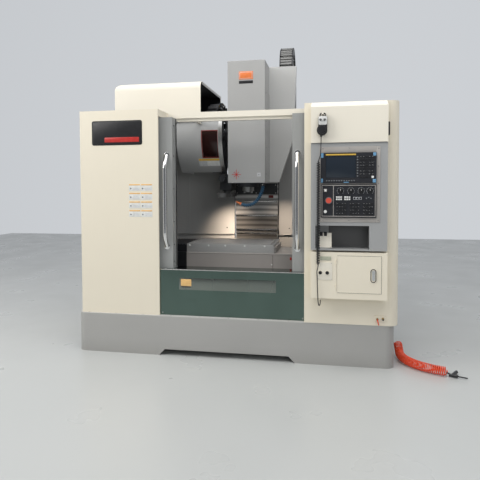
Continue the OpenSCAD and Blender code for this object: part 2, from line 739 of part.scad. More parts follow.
module table() {
  mid_y = (table_front + table_rear) / 2;
  saddle_mid = (saddle_front + saddle_rear) / 2;
  color(grey) difference() {
    union() {
      box(table_left, table_right, table_front, table_rear, table_low, table_top);
      for (s = [-1, 1], x = [table_left + 230, table_right - 330])
        translate([0, saddle_mid + s * x_rail_y, saddle_z1]) rotate(90)
          along_y(-x - 100, -x) block_outline(90, table_low - saddle_z1 + 1);
    }
    for (k = [-2:2]) translate([0, mid_y + k * slot_pitch, 0]) {
      box(table_left - 1, table_right + 1, -slot_w / 2, slot_w / 2, table_top - 34, table_top + 1);
      box(table_left - 1, table_right + 1, -slot_w * 0.85, slot_w * 0.85, table_top - 36, table_top - 20);
    }
    // Coolant gutters along both ends
    for (x = [table_left + 14, table_right - 34])
      box(x, x + 20, table_front + 20, table_rear - 20, table_top - 12, table_top + 1);
  }
}
module left_shield() {
  color(dark) {
    shield(table_left - shield_l, table_left, 0, -1);
    box(table_left - 20, table_left, table_front + 40, table_rear - 40, table_low - 2, table_low + 40);
  }
}
module right_shield() {
  color(grey) {
    shield(table_right, table_right + shield_l, 0, 1);
    box(table_right, table_right + 14, table_front + 10, table_rear - 10, table_low - 2, table_low + 50);
    // Skirt below the table's front edge, with its rolled ledge
    box(table_left, table_right, table_front - 9, table_front - 6, skirt_z, table_low - 1);
    box(table_left, table_right, table_front - 9, table_front, table_low - 4, table_low - 1);
    bar_x(table_left, table_right + shield_l, table_front - 9, table_low - 5, 8);
  }
}
slide_right_x = axis_x + 496;
slide_left_x = axis_x - 934;
module x_slide_right() { color(steel) shield(slide_right_x, slide_right_x + shield_l, 1, 1); }
module x_slide_left() { color(dark) shield(slide_left_x, slide_left_x + shield_l, 1, -1); }

carriage_y1 = column_front - 32;
carriage_z0 = zc_top_z + zc_h;
belt_z0 = 2130;
belt_z1 = belt_z0 + 50;
spindle_motor_top = 2460;
module head_casting() {
  color(dark) difference() {
    union() {
      // Carriage plate and its blocks on the column's rails
      box(axis_x - 200, axis_x + 200, carriage_y1 - 66, carriage_y1, carriage_z0 + 24, 2130);
      for (s = [-1, 1], z = [carriage_z0 + 40, 1980]) translate([axis_x + s * z_rail_x, column_front, 0])
        along_z(z, z + 120) rotate(180) block_outline(100, 34);
      // Ribbed body that narrows towards the front
      along_z(carriage_z0 + 24, belt_z0) polygon([
        [axis_x - 150, carriage_y1 - 65], [axis_x + 150, carriage_y1 - 65],
        [axis_x + 118, spindle_y - 60], [axis_x + 80, spindle_y - 105],
        [axis_x - 80, spindle_y - 105], [axis_x - 118, spindle_y - 60]]);
      // Spindle housing
      bar_z(axis_x, spindle_y, nose_z + 48, carriage_z0 + 30, 196);
      box(axis_x - 125, axis_x + 125, spindle_y - 90, spindle_y + 110, nose_z + 78, carriage_z0 + 25);
      // Belt housing and spindle motor on top
      along_z(belt_z0, belt_z1) round_rect(axis_x - 110, axis_x + 110, spindle_y - 90, spindle_y + 290, 20);
      along_z(belt_z1, spindle_motor_top)
        round_rect(axis_x - 95, axis_x + 95, spindle_y - 80, spindle_y + 110, 16);
    }
    bar_z(axis_x, spindle_y, nose_z - 1, nose_z + 200, 110 + 2 * run);
    for (k = [0:3]) translate([0, 0, 1530 + k * 150]) for (s = [-1, 1])
      box(s < 0 ? axis_x - 160 : axis_x + 96, s < 0 ? axis_x - 96 : axis_x + 160, 0, 150, 0, 110);
  }
}
module spindle() {
  color("silver") difference() {
    union() {
      bar_z(axis_x, spindle_y, nose_z + 36, nose_z + 190, 110);
      bar_z(axis_x, spindle_y, nose_z + 12, nose_z + 37, nose_d + 22);
      bar_z(axis_x, spindle_y, nose_z, nose_z + 13, nose_d);
      for (s = [-1, 1]) translate([axis_x + s * 33, spindle_y, nose_z - 8]) box(-8, 8, -8, 8, 0, 9);
    }
    translate([axis_x, spindle_y, nose_z - 0.01]) cylinder(h = 65, d1 = 44.5, d2 = 25);
  }
}
module head_cover() {
  t = 3;
  y1 = head_front + head_depth;
  color(grey) difference() {
    along_x(head_left, head_right) polygon([
      [head_front, head_bottom], [y1, head_bottom], [y1, head_top - 4],
      [y1 - 4, head_top], [head_front + 4, head_top], [head_front, head_top - 4]]);
    box(head_left + t, head_right - t, head_front + t, y1 + 1, head_bottom + t, head_top - t);
    box(axis_x - 131, axis_x + 131, head_front + 20, y1 + 1, head_bottom - 1, head_bottom + t + 1);
    // Shallow line of the service panel
    difference() {
      box(-80, 151, head_front - 1, head_front + 0.8, 1726, 2032);
      box(-77, 148, head_front - 2, head_front + 2, 1729, 2029);
    }
  }
  // Lugs that carry the cover on the belt housing
  color(grey) for (s = [-1, 1]) box(s < 0 ? head_left + t : axis_x + 110,
    s < 0 ? axis_x - 110 : head_right - t,
    spindle_y, spindle_y + 40, belt_z0 + 10, belt_z0 + 16);
}
house_x1 = 466;
module cable_housing() {
  y0 = head_front + head_depth;
  t = 3;
  d = 76;
  outline = [[head_right + 1, head_bottom + 6], [303, head_bottom + 6], [house_x1 - 27, 1840],
    [house_x1, head_top + 3], [head_right + 1, head_top + 3]];
  inner = [[head_right + 1 + t, head_bottom + 6 + t], [301, head_bottom + 6 + t],
    [house_x1 - 27 - t, 1841], [house_x1 - t, head_top + 4], [head_right + 1 + t, head_top + 4]];
  color(grey) {
    difference() {
      along_y(y0, y0 + d) polygon(outline);
      along_y(y0 + t, y0 + d + 1) polygon(inner);
    }
    // Bracket to the head's carriage
    box(head_right + 1, head_right + 1 + t, y0 + d - 1, carriage_y1 - 66, 1700, 2100);
    box(axis_x + 150, head_right + 2, carriage_y1 - 90, carriage_y1 - 66, 1700, 2100);
  }
}
chain_z = 2537;
link_n = 7;
leg_links = 4;
link_p = 80;
// One chain link: side plates, one crossbar on the inside and three narrow ones on the outside
link_bars = 3;
link_bar = 17;
module link(len) {
  plate_t = 9;
  bar_t = 8;
  half = chain_t / 2;
  x0 = chain_x0 + 1;
  x1 = chain_x0 + chain_w - 1;
  step = len / link_bars;
  for (x = [chain_x0, x1 + 1 - plate_t]) box(x, x + plate_t, -half, half, 0.5, len - 0.5);
  for (k = [0:link_bars - 1]) box(x0, x1, -half, bar_t - half,
    (k + 0.5) * step - link_bar / 2, (k + 0.5) * step + link_bar / 2);
  box(x0, x1, half - bar_t, half, len * 0.16, len * 0.84);
  box(x0, x1, -bar_t / 2, bar_t / 2, -0.6, 14);
}
module cable_chain() {
  mid = chain_y0 + chain_r;
  arch_r = sqrt(pow(chain_r + chain_t / 2, 2) - pow(link_p / 2 + 0.5, 2)) - chain_t / 2;
  color(dark) {
    for (k = [0:leg_links - 1]) {
      translate([0, chain_y0, chain_z - (k + 1) * link_p]) link(link_p + 0.6);
      translate([0, chain_y1, chain_z - (k + 1) * link_p]) link(link_p + 0.6);
    }
    for (k = [0:link_n - 1]) translate([0, mid, chain_z]) rotate([-180 / link_n * (k + 0.5), 0, 0])
      translate([0, -arch_r, -link_p / 2 - 0.5]) link(link_p + 1);
  }
}
hose_d = 20;
module coolant_hose() {
  // Centre points of the jointed hose, from its block to the nozzle
  pts = [[176, -268, 1396], [174, -272, 1360], [162, -278, 1320], [144, -284, 1282], [122, -290, 1248],
    [92, -294, 1222], [56, -297, 1208], [18, -299, 1206], [-14, -300, 1214]];
  color("#1f3044") for (k = [0:len(pts) - 2]) link_ball(pts[k], pts[k + 1]);
  color("#e2641c") link_nozzle(pts[8], [-72, -300, 1240]);
  color(dark) box(158, 194, -286, -250, 1384, head_bottom);
}
module point_along(a, b) {
  v = b - a;
  translate(a) rotate([0, acos(v[2] / norm(v)), atan2(v[1], v[0])]) children();
}
module link_ball(a, b) {
  v = norm(b - a);
  point_along(a, b) {
    cylinder(h = v, d = hose_d - 6, $fn = 24);
    cylinder(h = v * 0.6, d = hose_d, $fn = 24);
  }
}
module link_nozzle(a, b) {
  point_along(a, b) {
    cylinder(h = norm(b - a) * 0.4, d = hose_d, $fn = 24);
    cylinder(h = norm(b - a), d1 = hose_d - 1, d2 = 9, $fn = 24);
  }
}

hood_bottom = fascia_z1 + 2;
module control_hood() {
  y1 = right_front;
  y0 = right_front - console_out;
  top = cover_top + 1;
  color(cream) {
    difference() {
      along_x(console_left, console_right)
        polygon([[y1, hood_bottom], [y0, hood_bottom], [y0, top - 46], [y1, top]]);
      along_x(console_left + 3, console_right - 3)
        polygon([[y1 + 1, hood_bottom - 1], [y0 + 3, hood_bottom - 1],
          [y0 + 3, top - 48], [y1 + 1, top - 4]]);
    }
    // Hook that the pendant hangs on
    box(732, 746, y0 - 42, y0 + 1, 1901, 1905);
    box(732, 746, y0 - 42, y0 - 38, 1901, 1918);
  }
}
bezel = [716, 1154, 1108, 1667];
module control_fascia() {
  t = 3;
  color(grey) difference() {
    union() {
      box(console_left, console_right, fascia_y, fascia_y + t, fascia_z0, fascia_z1);
      for (x = [console_left, console_right - t]) box(x, x + t, fascia_y, right_front, fascia_z0, fascia_z1);
      for (z = [fascia_z0, fascia_z1 - t]) box(console_left, console_right, fascia_y, right_front, z, z + t);
      box(bezel[0], bezel[1], fascia_y - 2, fascia_y + 1, bezel[2], bezel[3]);
      box(cubby[0] - 2, cubby[1] + 2, fascia_y, fascia_y + cubby_depth, cubby[2] - 2, cubby[3] + 2);
    }
    box(cubby[0], cubby[1], fascia_y - 1, fascia_y + cubby_depth - 2, cubby[2], cubby[3]);
    box(760, 1090, fascia_y - 3, fascia_y + t + 1, 1420, 1600);
    box(760, 1090, fascia_y - 3, fascia_y + t + 1, 1170, 1370);
  }
  // Outlet box in the cubby
  color("#d8d8d4") along_x(712, 780) polygon([
    [fascia_y + 40, cubby[2]], [fascia_y + cubby_depth - 2, cubby[2]],
    [fascia_y + cubby_depth - 2, cubby[2] + 110], [fascia_y + 70, cubby[2] + 110]]);
}
face_y = fascia_y - 2;
display = [725, 1124, 1398, 1621];
module display_unit() {
  y0 = face_y - 16;
  color("#2a2c33") {
    difference() {
      union() {
        box(display[0], display[1], y0, face_y, display[2], display[3]);
        box(762, 1088, face_y - 1, face_y + 60, 1422, 1598);
      }
      box(760, 981, y0 - 1, y0 + 5, 1434, 1600);
    }
    // Keys: soft keys below the screen, a column beside it, and the keyboard block
    for (k = [0:11]) box(764 + k * 18, 774 + k * 18, y0 - 2, y0 + 1, 1410, 1418);
    for (k = [0:7]) box(987, 995, y0 - 2, y0 + 1, 1442 + k * 20, 1452 + k * 20);
    for (c = [0:4], r = [0:7]) translate([c * 21, 0, r * 21]) box(1006, 1022, y0 - 2, y0 + 1, 1434, 1449);
  }
}
panel = [727, 1125, 1144, 1389];
stop_at = [784, 1270];
knob_z = 1341;
knob_xs = [869, 944, 1018, 1080];
module operator_panel() {
  y0 = face_y - 12;
  color("#1c1d20") difference() {
    union() {
      box(panel[0], panel[1], y0, face_y, panel[2], panel[3]);
      box(762, 1088, face_y - 1, face_y + 70, 1172, 1368);
      // Raised frame, the keys and the sealed push buttons
      for (x = [panel[0] + 6, 816, panel[1] - 10]) box(x, x + 4, y0 - 2, y0 + 1, panel[2] + 8, panel[3] - 6);
      for (z = [panel[2] + 8, panel[3] - 10]) box(panel[0] + 6, panel[1] - 6, y0 - 2, y0 + 1, z, z + 4);
      for (g = [0, 1], c = [0:3], r = [0, 1])
        box(838 + g * 60 + c * 13, 848 + g * 60 + c * 13, y0 - 3, y0 + 1, 1278 + r * 16, 1290 + r * 16);
      for (g = [0:2], c = [0:3], r = [0:3])
        box(838 + g * 96 + c * 20, 853 + g * 96 + c * 20, y0 - 3, y0 + 1, 1164 + r * 24, 1182 + r * 24);
      for (c = [0:3]) box(962 + c * 20, 977 + c * 20, y0 - 3, y0 + 1, 1278, 1296);
      box(750, 770, y0 - 8, y0 + 1, 1335, 1355);
      bar_y(760, y0 - 8, y0 + 1, 1188, 24);
    }
    bar_y(stop_at[0], y0 - 1, y0 + 30, stop_at[1], 22 + 2 * run);
    for (x = knob_xs) bar_y(x, y0 - 1, y0 + 30, knob_z, 8 + 2 * run);
  }
}
module estop_button() {
  y0 = face_y - 12;
  travel = 6;
  color("#c8372c") {
    bar_y(stop_at[0], y0 - travel - 2, y0 + 20, stop_at[1], 22);
    bar_y(stop_at[0], y0 - travel - 18, y0 - travel - 1, stop_at[1], estop_d);
  }
}
module knob(x) {
  y0 = face_y - 12;
  color("#141416") {
    bar_y(x, y0 - 2, y0 + 26, knob_z, 8);
    bar_y(x, y0 - 4, y0 - seat, knob_z, knob_d);
    bar_y(x, y0 - 22, y0 - 3, knob_z, knob_d - 8);
    box(x - 3, x + 3, y0 - 24, y0 - 5, knob_z - knob_d / 2 + 3, knob_z + knob_d / 2 - 1);
  }
}
module mode_knob() { knob(knob_xs[0]); }
module feed_knob() { knob(knob_xs[1]); }
module speed_knob() { knob(knob_xs[2]); }
module rapid_knob() { knob(knob_xs[3]); }

hatch = [846, 1163, 588, 860];
hinge_y = box_front - 4.6;
gland_h = 12;
module lower_box() {
  t = 3;
  color(cream) difference() {
    box(console_left, console_right, box_front, right_front, box_z0, box_z1);
    box(console_left + t, console_right - t, box_front + t, right_front + 1, box_z0 + t, box_z1 - t);
    box(hatch[0] - 2, hatch[1] - 12, box_front - 1, box_front + t + 1, hatch[2] + 10, hatch[3] - 10);
    // Slot of the card reader, and the cut-out behind the socket plate
    box(718, 810, box_front - 1, box_front + t + 1, 824, 854);
  }
  // Partition beside the compartment, card slot and socket plate
  color(cream) box(hatch[0] - 20, hatch[0] - 17, box_front + 1, right_front, box_z0 + 1, box_z1 - 1);
  color("#9aa08c") box(716, 812, box_front + t - 1, box_front + 30, 822, 856);
  color("white") {
    box(700, 812, box_front - 2, box_front + 1, 680, 811);
    for (x = [724, 775]) bar_y(x, box_front - 10, box_front, 734, 26);
  }
  // Hinge knuckles of the hatch
  color(steel) for (z = [hatch[2] + 30, hatch[3] - 60]) {
    bar_z(hatch[0] - 6, hinge_y, z + 15 + seat, z + 30, 8);
    box(hatch[0] - 18, hatch[0] - 6, box_front - 3, box_front + 1, z + 15 + seat, z + 30);
  }
  // Gland that the pendant's cord enters
  color(dark) bar_z(724, box_front + 16, box_z0 - gland_h, box_z0 + 1, 18);
}
module lower_box_door() {
  color(cream) {
    box(hatch[0], hatch[1], box_front - 3 - seat, box_front - seat, hatch[2], hatch[3]);
    for (z = [hatch[2] + 30, hatch[3] - 60]) {
      bar_z(hatch[0] - 6, hinge_y, z, z + 15, 8);
      box(hatch[0] - 6, hatch[0] + 2, hinge_y - 1.4, hinge_y + 3.6, z, z + 15);
    }
    // Latch base, bored for the latch's pin
    difference() {
      union() {
        for (z = [690, 748]) bar_y(1107, box_front - 9, box_front - 3, z, 30);
        box(1092, 1122, box_front - 9, box_front - 3, 690, 748);
      }
      bar_y(1107, box_front - 10, box_front - 3.2, 748, 8 + 2 * run);
    }
  }
}
module door_latch() {
  y0 = box_front - 9 - seat;
  color("silver") {
    bar_y(1107, y0 - 9, y0, 748, 26);
    bar_y(1107, y0 - 1, y0 + 5.5, 748, 8);
    box(1096, 1118, y0 - 9, y0, 694, 748);
    bar_y(1107, y0 - 9, y0, 694, 22);
  }
}

pend_y1 = right_front - console_out - 2;
pend_y0 = pend_y1 - 42;
wheel = [735, 1786];
module pendant_body() {
  color("#191a1c") difference() {
    union() {
      along_y(pend_y0, pend_y1) round_rect(708, 772, 1772, 1886, 12);
      bar_y(wheel[0], pend_y0, pend_y1 - 4, wheel[1], 76);
      // Hanger loop and cord gland
      along_y(pend_y0 + 10, pend_y1 - 8) difference() {
        round_rect(717, 763, 1876, 1912, 14);
        round_rect(724, 756, 1884, 1905, 7);
      }
      bar_z(728, pend_y0 + 20, 1740, 1760, 16);
    }
    bar_y(wheel[0], pend_y0 - 1, pend_y0 + 30, wheel[1], 12 + 2 * run);
  }
  // Grey face and the two rotary switches
  color("#c9ccce") along_y(pend_y0 - 1.5, pend_y0 + 1) round_rect(714, 766, 1826, 1880, 6);
  color("#141416") for (x = [724, 754]) bar_y(x, pend_y0 - 14, pend_y0 - 1, 1860, 16);
}
module handwheel() {
  color("#101113") {
    bar_y(wheel[0], pend_y0 - 4, pend_y0 + 26, wheel[1], 12);
    bar_y(wheel[0], pend_y0 - 12, pend_y0 - seat, wheel[1], wheel_d);
    bar_y(wheel[0], pend_y0 - 18, pend_y0 - 11, wheel[1], wheel_d - 16);
    bar_y(wheel[0] + 22, pend_y0 - 33, pend_y0 - 16, wheel[1], 12);
  }
}
cord_d = 7;
curl_d = 28;
cord_y = box_front - 19;
curl_top = 1566;
curl_low = 783;
// Route of the cord above and below its curled length
cord_top_pts = [[728, pend_y0 + 20, 1740], [728, -1119, 1712], [727, -1121, 1680], [726, cord_y, 1640],
  [722, cord_y, 1600], [710, cord_y, curl_top]];
cord_low_pts = [[708, cord_y, curl_low], [704, cord_y, 764], [700, cord_y, 740], [702, cord_y, 700],
  [704, cord_y, 640], [706, cord_y, 580], [708, cord_y, 530], [711, -1118, 500], [716, -1110, 486],
  [721, -1098, 490], [724, -1090, 508],
  [724, box_front + 16, box_z0 - gland_h]];
function unit(v) = v / norm(v);
function tube_dir(p, i) = unit(p[min(i + 1, len(p) - 1)] - p[max(i - 1, 0)]);
function tube_ring(p, i, r, n) =
  let (d = tube_dir(p, i), s = abs(d[2]) > 0.9 ? [1, 0, 0] : [0, 0, 1],
    a = unit(cross(d, s)), b = cross(d, a))
    [for (k = [0:n - 1]) p[i] + r * (a * cos(k * 360 / n) + b * sin(k * 360 / n))];
// A plain tube swept along points
module tube(p, r, n) {
  m = len(p);
  polyhedron(points = [for (i = [0:m - 1]) each tube_ring(p, i, r, n)],
    faces = concat([[for (k = [0:n - 1]) k]],
      [for (i = [0:m - 2], k = [0:n - 1])
        [i * n + k, (i + 1) * n + k, (i + 1) * n + (k + 1) % n, i * n + (k + 1) % n]],
      [[for (k = [n - 1:-1:0]) (m - 1) * n + k]]), convexity = 6);
}
module pendant_cord() {
  color("#15161a") {
    tube(cord_top_pts, cord_d / 2, 8);
    tube(cord_low_pts, cord_d / 2, 8);
  }
}
module pendant_curl() { color("#15161a") bar_z(709, cord_y, curl_low, curl_top, curl_d); }

air_y = right_front;
coupler = [1273, -640, 90];
coupler_end = 1299;
module air_couplings() {
  color(steel) {
    box(1122, 1209, air_y - 3, air_y, 361, 402);
    for (p = [[1145, 377], [1186, 382]]) {
      bar_y(p[0], air_y - 12, air_y - 2, p[1], 18, $fn = 6);
      bar_y(p[0], air_y - 24, air_y - 11, p[1], 12);
    }
    // Coupler of the blow gun's hose on the pan's end
    bar_x(pan_right, pan_right + 8, coupler[1], coupler[2], 40);
    bar_x(pan_right + 7, coupler_end, coupler[1], coupler[2], 24);
  }
}
coil_d = 70;
coil_pts = [[1340, -650, 92], [1340, -700, 66], [1342, -750, 42], [1350, -800, 36], [1366, -860, 36],
  [1400, -925, 36], [1450, -985, 36], [1510, -1028, 36], [1570, -1058, 36], [1630, -1084, 36]];
module air_coil() {
  color("#e8452c") {
    tube(coil_pts, coil_d / 2, 12);
    tube([[coupler_end, coupler[1], coupler[2]], [1320, coupler[1], coupler[2]],
      [1336, -645, 92], [1340, -668, 86]], 5, 8);
  }
}
module air_gun() {
  color("#2b2d33") {
    point_along([1640, -1088, 16], [1760, -1140, 16]) cylinder(h = 60, d = 22);
    point_along([1690, -1110, 16], [1760, -1140, 16]) cylinder(h = 70, d = 10);
    point_along([1660, -1098, 16], [1700, -1030, 16]) cylinder(h = 90, d = 24);
    point_along([1626, -1082, 30], [1660, -1098, 16]) cylinder(h = 30, d = 12);
  }
}

elec = [420, 1220, 640, 1140, 0, 2030];
module electrical_cabinet() {
  z0 = pan_h;
  color(cream) difference() {
    box(elec[0], elec[1], elec[2], elec[3], z0, elec[5]);
    box(elec[0] + 3, elec[1] - 3, elec[2] + 3, elec[3] - 3, z0 + 3, elec[5] - 3);
    box(elec[0] + 40, elec[1] - 40, elec[3] - 4, elec[3] + 1, z0 + 40, elec[5] - 40);
    // Louvres on the right side
    for (k = [0:9]) translate([0, 0, k * 30])
      box(elec[1] - 4, elec[1] + 1, elec[2] + 120, elec[3] - 120, z0 + 120, z0 + 132);
  }
  // Mounting panel inside, and the knuckles of the door
  color(steel) box(elec[0] + 60, elec[1] - 60, elec[2] + 3, elec[2] + 20, z0 + 80, elec[5] - 120);
  color(steel) for (z = [z0 + 150, 1180, elec[5] - 200])
    bar_z(elec[0] - 6, elec[3] + 6, z + 40 + seat, z + 80, 12);
  color(steel) for (z = [z0 + 150, 1180, elec[5] - 200])
    box(elec[0] - 10, elec[0] + 1, elec[3] - 30, elec[3] + 4, z + 40 + seat, z + 80);
}
module electrical_door() {
  z0 = pan_h;
  y0 = elec[3] + seat;
  color(cream) {
    difference() {
      box(elec[0] + 4, elec[1] - 2, y0, y0 + 18, z0 + 10, elec[5] - 10);
      box(elec[0] + 44, elec[1] - 44, y0 - 1, y0 + 15, z0 + 44, elec[5] - 44);
    }
    for (z = [z0 + 150, 1180, elec[5] - 200]) {
      bar_z(elec[0] - 6, elec[3] + 6, z, z + 40, 12);
      box(elec[0] - 6, elec[0] + 5, elec[3] + 4, elec[3] + 11, z, z + 40);
    }
  }
  color(dark) {
    box(elec[1] - 80, elec[1] - 50, y0 + 17, y0 + 27, 1140, 1300);
    bar_y(elec[1] - 65, y0 + 17, y0 + 31.7, 1260, 26);
  }
}

base_pan();
levelling_feet();
bed();
guide_rails();
column();
drive_motors();
left_cover();
right_cover();
header_beam();
front_apron();
chamber_liner();
magazine_hood();
magazine_guard();
magazine_window();
magazine_disc();
atc_gearbox();
change_arm();
z_cover_base();
z_cover_lower();
z_cover_upper();
z_cover_top();
left_door();
left_glass();
left_handle();
right_door();
right_glass();
right_handle();
saddle();
table();
left_shield();
right_shield();
x_slide_left();
x_slide_right();
head_casting();
head_cover();
cable_housing();
cable_chain();
spindle();
coolant_hose();
control_hood();
control_fascia();
display_unit();
operator_panel();
estop_button();
mode_knob();
feed_knob();
speed_knob();
rapid_knob();
lower_box();
lower_box_door();
door_latch();
pendant_body();
handwheel();
pendant_cord();
pendant_curl();
air_couplings();
air_coil();
air_gun();
electrical_cabinet();
electrical_door();
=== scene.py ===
"""Looks of the vertical machining centre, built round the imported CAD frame."""

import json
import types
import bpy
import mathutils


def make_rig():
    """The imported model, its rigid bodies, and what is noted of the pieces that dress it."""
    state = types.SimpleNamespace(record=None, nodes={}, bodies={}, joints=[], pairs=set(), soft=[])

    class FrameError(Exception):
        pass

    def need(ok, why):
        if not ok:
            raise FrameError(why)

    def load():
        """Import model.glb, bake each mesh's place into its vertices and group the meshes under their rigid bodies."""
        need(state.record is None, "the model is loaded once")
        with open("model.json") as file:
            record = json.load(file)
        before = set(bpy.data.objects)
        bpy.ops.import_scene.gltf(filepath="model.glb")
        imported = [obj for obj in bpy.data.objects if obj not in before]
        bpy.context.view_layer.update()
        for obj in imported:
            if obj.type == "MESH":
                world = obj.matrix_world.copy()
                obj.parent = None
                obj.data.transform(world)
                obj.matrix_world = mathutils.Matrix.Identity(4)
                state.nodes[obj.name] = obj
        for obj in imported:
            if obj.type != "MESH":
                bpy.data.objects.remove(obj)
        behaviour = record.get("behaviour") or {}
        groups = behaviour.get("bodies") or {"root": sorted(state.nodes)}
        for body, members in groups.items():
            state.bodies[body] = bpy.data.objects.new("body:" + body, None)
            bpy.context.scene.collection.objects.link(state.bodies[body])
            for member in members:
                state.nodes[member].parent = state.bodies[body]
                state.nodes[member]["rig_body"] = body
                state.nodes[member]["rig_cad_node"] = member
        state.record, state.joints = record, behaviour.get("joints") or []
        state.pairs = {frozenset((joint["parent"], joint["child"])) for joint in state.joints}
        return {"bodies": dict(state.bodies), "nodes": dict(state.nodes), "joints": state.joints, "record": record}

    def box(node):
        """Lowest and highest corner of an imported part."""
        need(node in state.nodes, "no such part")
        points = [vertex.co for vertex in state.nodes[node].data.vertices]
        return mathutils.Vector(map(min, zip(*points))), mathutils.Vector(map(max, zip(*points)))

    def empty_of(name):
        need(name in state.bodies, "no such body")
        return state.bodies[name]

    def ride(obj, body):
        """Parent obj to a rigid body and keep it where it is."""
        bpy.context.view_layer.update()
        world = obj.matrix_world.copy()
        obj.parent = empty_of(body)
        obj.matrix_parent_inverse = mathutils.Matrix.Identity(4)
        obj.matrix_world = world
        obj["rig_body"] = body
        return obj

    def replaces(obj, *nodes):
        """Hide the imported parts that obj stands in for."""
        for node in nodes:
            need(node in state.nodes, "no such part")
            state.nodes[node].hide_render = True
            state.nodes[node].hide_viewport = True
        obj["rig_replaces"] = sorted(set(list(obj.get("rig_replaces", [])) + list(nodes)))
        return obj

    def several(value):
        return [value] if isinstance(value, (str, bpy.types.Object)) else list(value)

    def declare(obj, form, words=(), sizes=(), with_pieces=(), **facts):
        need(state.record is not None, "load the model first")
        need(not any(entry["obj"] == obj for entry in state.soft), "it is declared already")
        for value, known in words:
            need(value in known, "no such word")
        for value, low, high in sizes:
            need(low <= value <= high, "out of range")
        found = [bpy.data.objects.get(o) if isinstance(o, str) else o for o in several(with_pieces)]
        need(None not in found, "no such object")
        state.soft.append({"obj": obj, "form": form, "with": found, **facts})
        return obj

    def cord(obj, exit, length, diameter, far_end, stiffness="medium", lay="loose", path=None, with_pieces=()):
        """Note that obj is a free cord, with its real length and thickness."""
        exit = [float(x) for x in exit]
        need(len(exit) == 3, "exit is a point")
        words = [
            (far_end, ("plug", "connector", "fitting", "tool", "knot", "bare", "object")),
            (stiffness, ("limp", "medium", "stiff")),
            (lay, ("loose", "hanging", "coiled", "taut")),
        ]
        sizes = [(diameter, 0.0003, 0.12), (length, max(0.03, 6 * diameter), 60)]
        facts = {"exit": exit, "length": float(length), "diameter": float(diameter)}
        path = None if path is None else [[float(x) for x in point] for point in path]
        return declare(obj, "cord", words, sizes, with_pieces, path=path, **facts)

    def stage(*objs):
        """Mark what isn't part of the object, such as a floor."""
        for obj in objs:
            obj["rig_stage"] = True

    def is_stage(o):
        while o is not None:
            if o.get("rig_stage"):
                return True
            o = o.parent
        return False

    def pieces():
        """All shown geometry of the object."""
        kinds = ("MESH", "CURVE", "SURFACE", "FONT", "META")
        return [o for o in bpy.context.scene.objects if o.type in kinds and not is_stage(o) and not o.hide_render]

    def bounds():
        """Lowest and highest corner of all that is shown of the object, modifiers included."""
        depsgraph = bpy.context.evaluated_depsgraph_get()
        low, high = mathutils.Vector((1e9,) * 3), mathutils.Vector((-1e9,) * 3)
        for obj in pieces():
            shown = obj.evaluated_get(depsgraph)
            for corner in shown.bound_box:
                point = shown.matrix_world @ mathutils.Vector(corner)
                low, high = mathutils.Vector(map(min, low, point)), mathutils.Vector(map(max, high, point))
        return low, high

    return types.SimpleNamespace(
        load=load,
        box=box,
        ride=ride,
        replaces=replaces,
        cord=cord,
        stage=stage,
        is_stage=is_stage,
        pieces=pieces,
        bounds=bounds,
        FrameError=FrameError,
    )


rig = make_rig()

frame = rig.load()

import json
import logging
import math
from dataclasses import dataclass, field
from enum import Enum
from typing import Sequence

import bmesh
import bpy
from mathutils import Matrix, Quaternion, Vector

BOUNDS_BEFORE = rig.bounds()
LOG = logging.getLogger("machining_centre")
SIZE_FILE = "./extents.json"
MM = 0.001
# Millimetres that a label reaches into its face
LABEL_SINK = 0.2
# Radians between two faces from which their edge is bevelled, and the bevel's segments
BEVEL_ANGLE = 0.6
BEVEL_STEPS = 2
UNTURNED = (0.0, 0.0, 0.0)
Pair = tuple[float, float]
Point = tuple[float, float, float]
Edges = tuple[float, float, float, float]
Colour = tuple[float, float, float]
Socket = bpy.types.NodeSocket


class Axis(Enum):
    """An axis of the machine's frame."""

    X = 0
    Y = 1
    Z = 2

    def turn(self, sign: float) -> Quaternion:
        """Gives the turn from Z to this axis, or against it where the sign is negative."""
        return Vector((0, 0, 1)).rotation_difference(Vector([sign if a is self else 0.0 for a in Axis]))


class Body(Enum):
    """The CAD bodies that dressed pieces ride on."""

    FRAME = "frame"
    LEFT_DOOR = "left_door"
    RIGHT_DOOR = "right_door"
    TABLE = "table"
    HEAD = "head"
    DISC = "magazine_disc"
    LOWER_DOOR = "lower_box_door"
    WHEEL = "handwheel"
    COVER_UPPER = "z_cover_upper"
    COVER_LOWER = "z_cover_lower"
    MODE = "mode_knob"
    FEED = "feed_knob"
    SPEED = "speed_knob"
    RAPID = "rapid_knob"


class Nodes:
    """A node tree under construction, with short calls for what its nodes share."""

    def __init__(self, tree: bpy.types.NodeTree) -> None:
        """Takes the tree that the calls add to."""
        self.tree = tree

    def feed(self, socket: Socket, value: object) -> None:
        """Links or sets an input.

        Args:
            socket: the input.
            value: a socket to link, or a constant. A colour has three parts.
        """
        if isinstance(value, bpy.types.NodeSocket):
            self.tree.links.new(value, socket)
        else:
            socket.default_value = (*value, 1.0) if socket.type == "RGBA" else value

    def node(self, kind: str, values: dict | None = None, **settings: object) -> bpy.types.Node:
        """Adds a node.

        Args:
            kind: the node's type name.
            values: input values or sockets by input name or index.
            settings: properties set on the node itself.

        Returns:
            The new node.
        """
        made = self.tree.nodes.new(kind)
        for key, value in settings.items():
            setattr(made, key, value)
        for key, value in (values or {}).items():
            self.feed(made.inputs[key], value)
        return made

    def result(self, kind: str, values: dict | None = None, **settings: object) -> Socket:
        """Adds a node and gives its first output."""
        return self.node(kind, values, **settings).outputs[0]

    def math(self, operation: str, first: object, second: object = 0.0) -> Socket:
        """Adds a math node and gives its result."""
        return self.result("ShaderNodeMath", {0: first, 1: second}, operation=operation)

    def ramp(self, value: Socket, low: float, high: float, out_low: float, out_high: float) -> Socket:
        """Maps a value from low..high to out_low..out_high, clamped."""
        return self.result("ShaderNodeMapRange", {0: value, 1: low, 2: high, 3: out_low, 4: out_high})


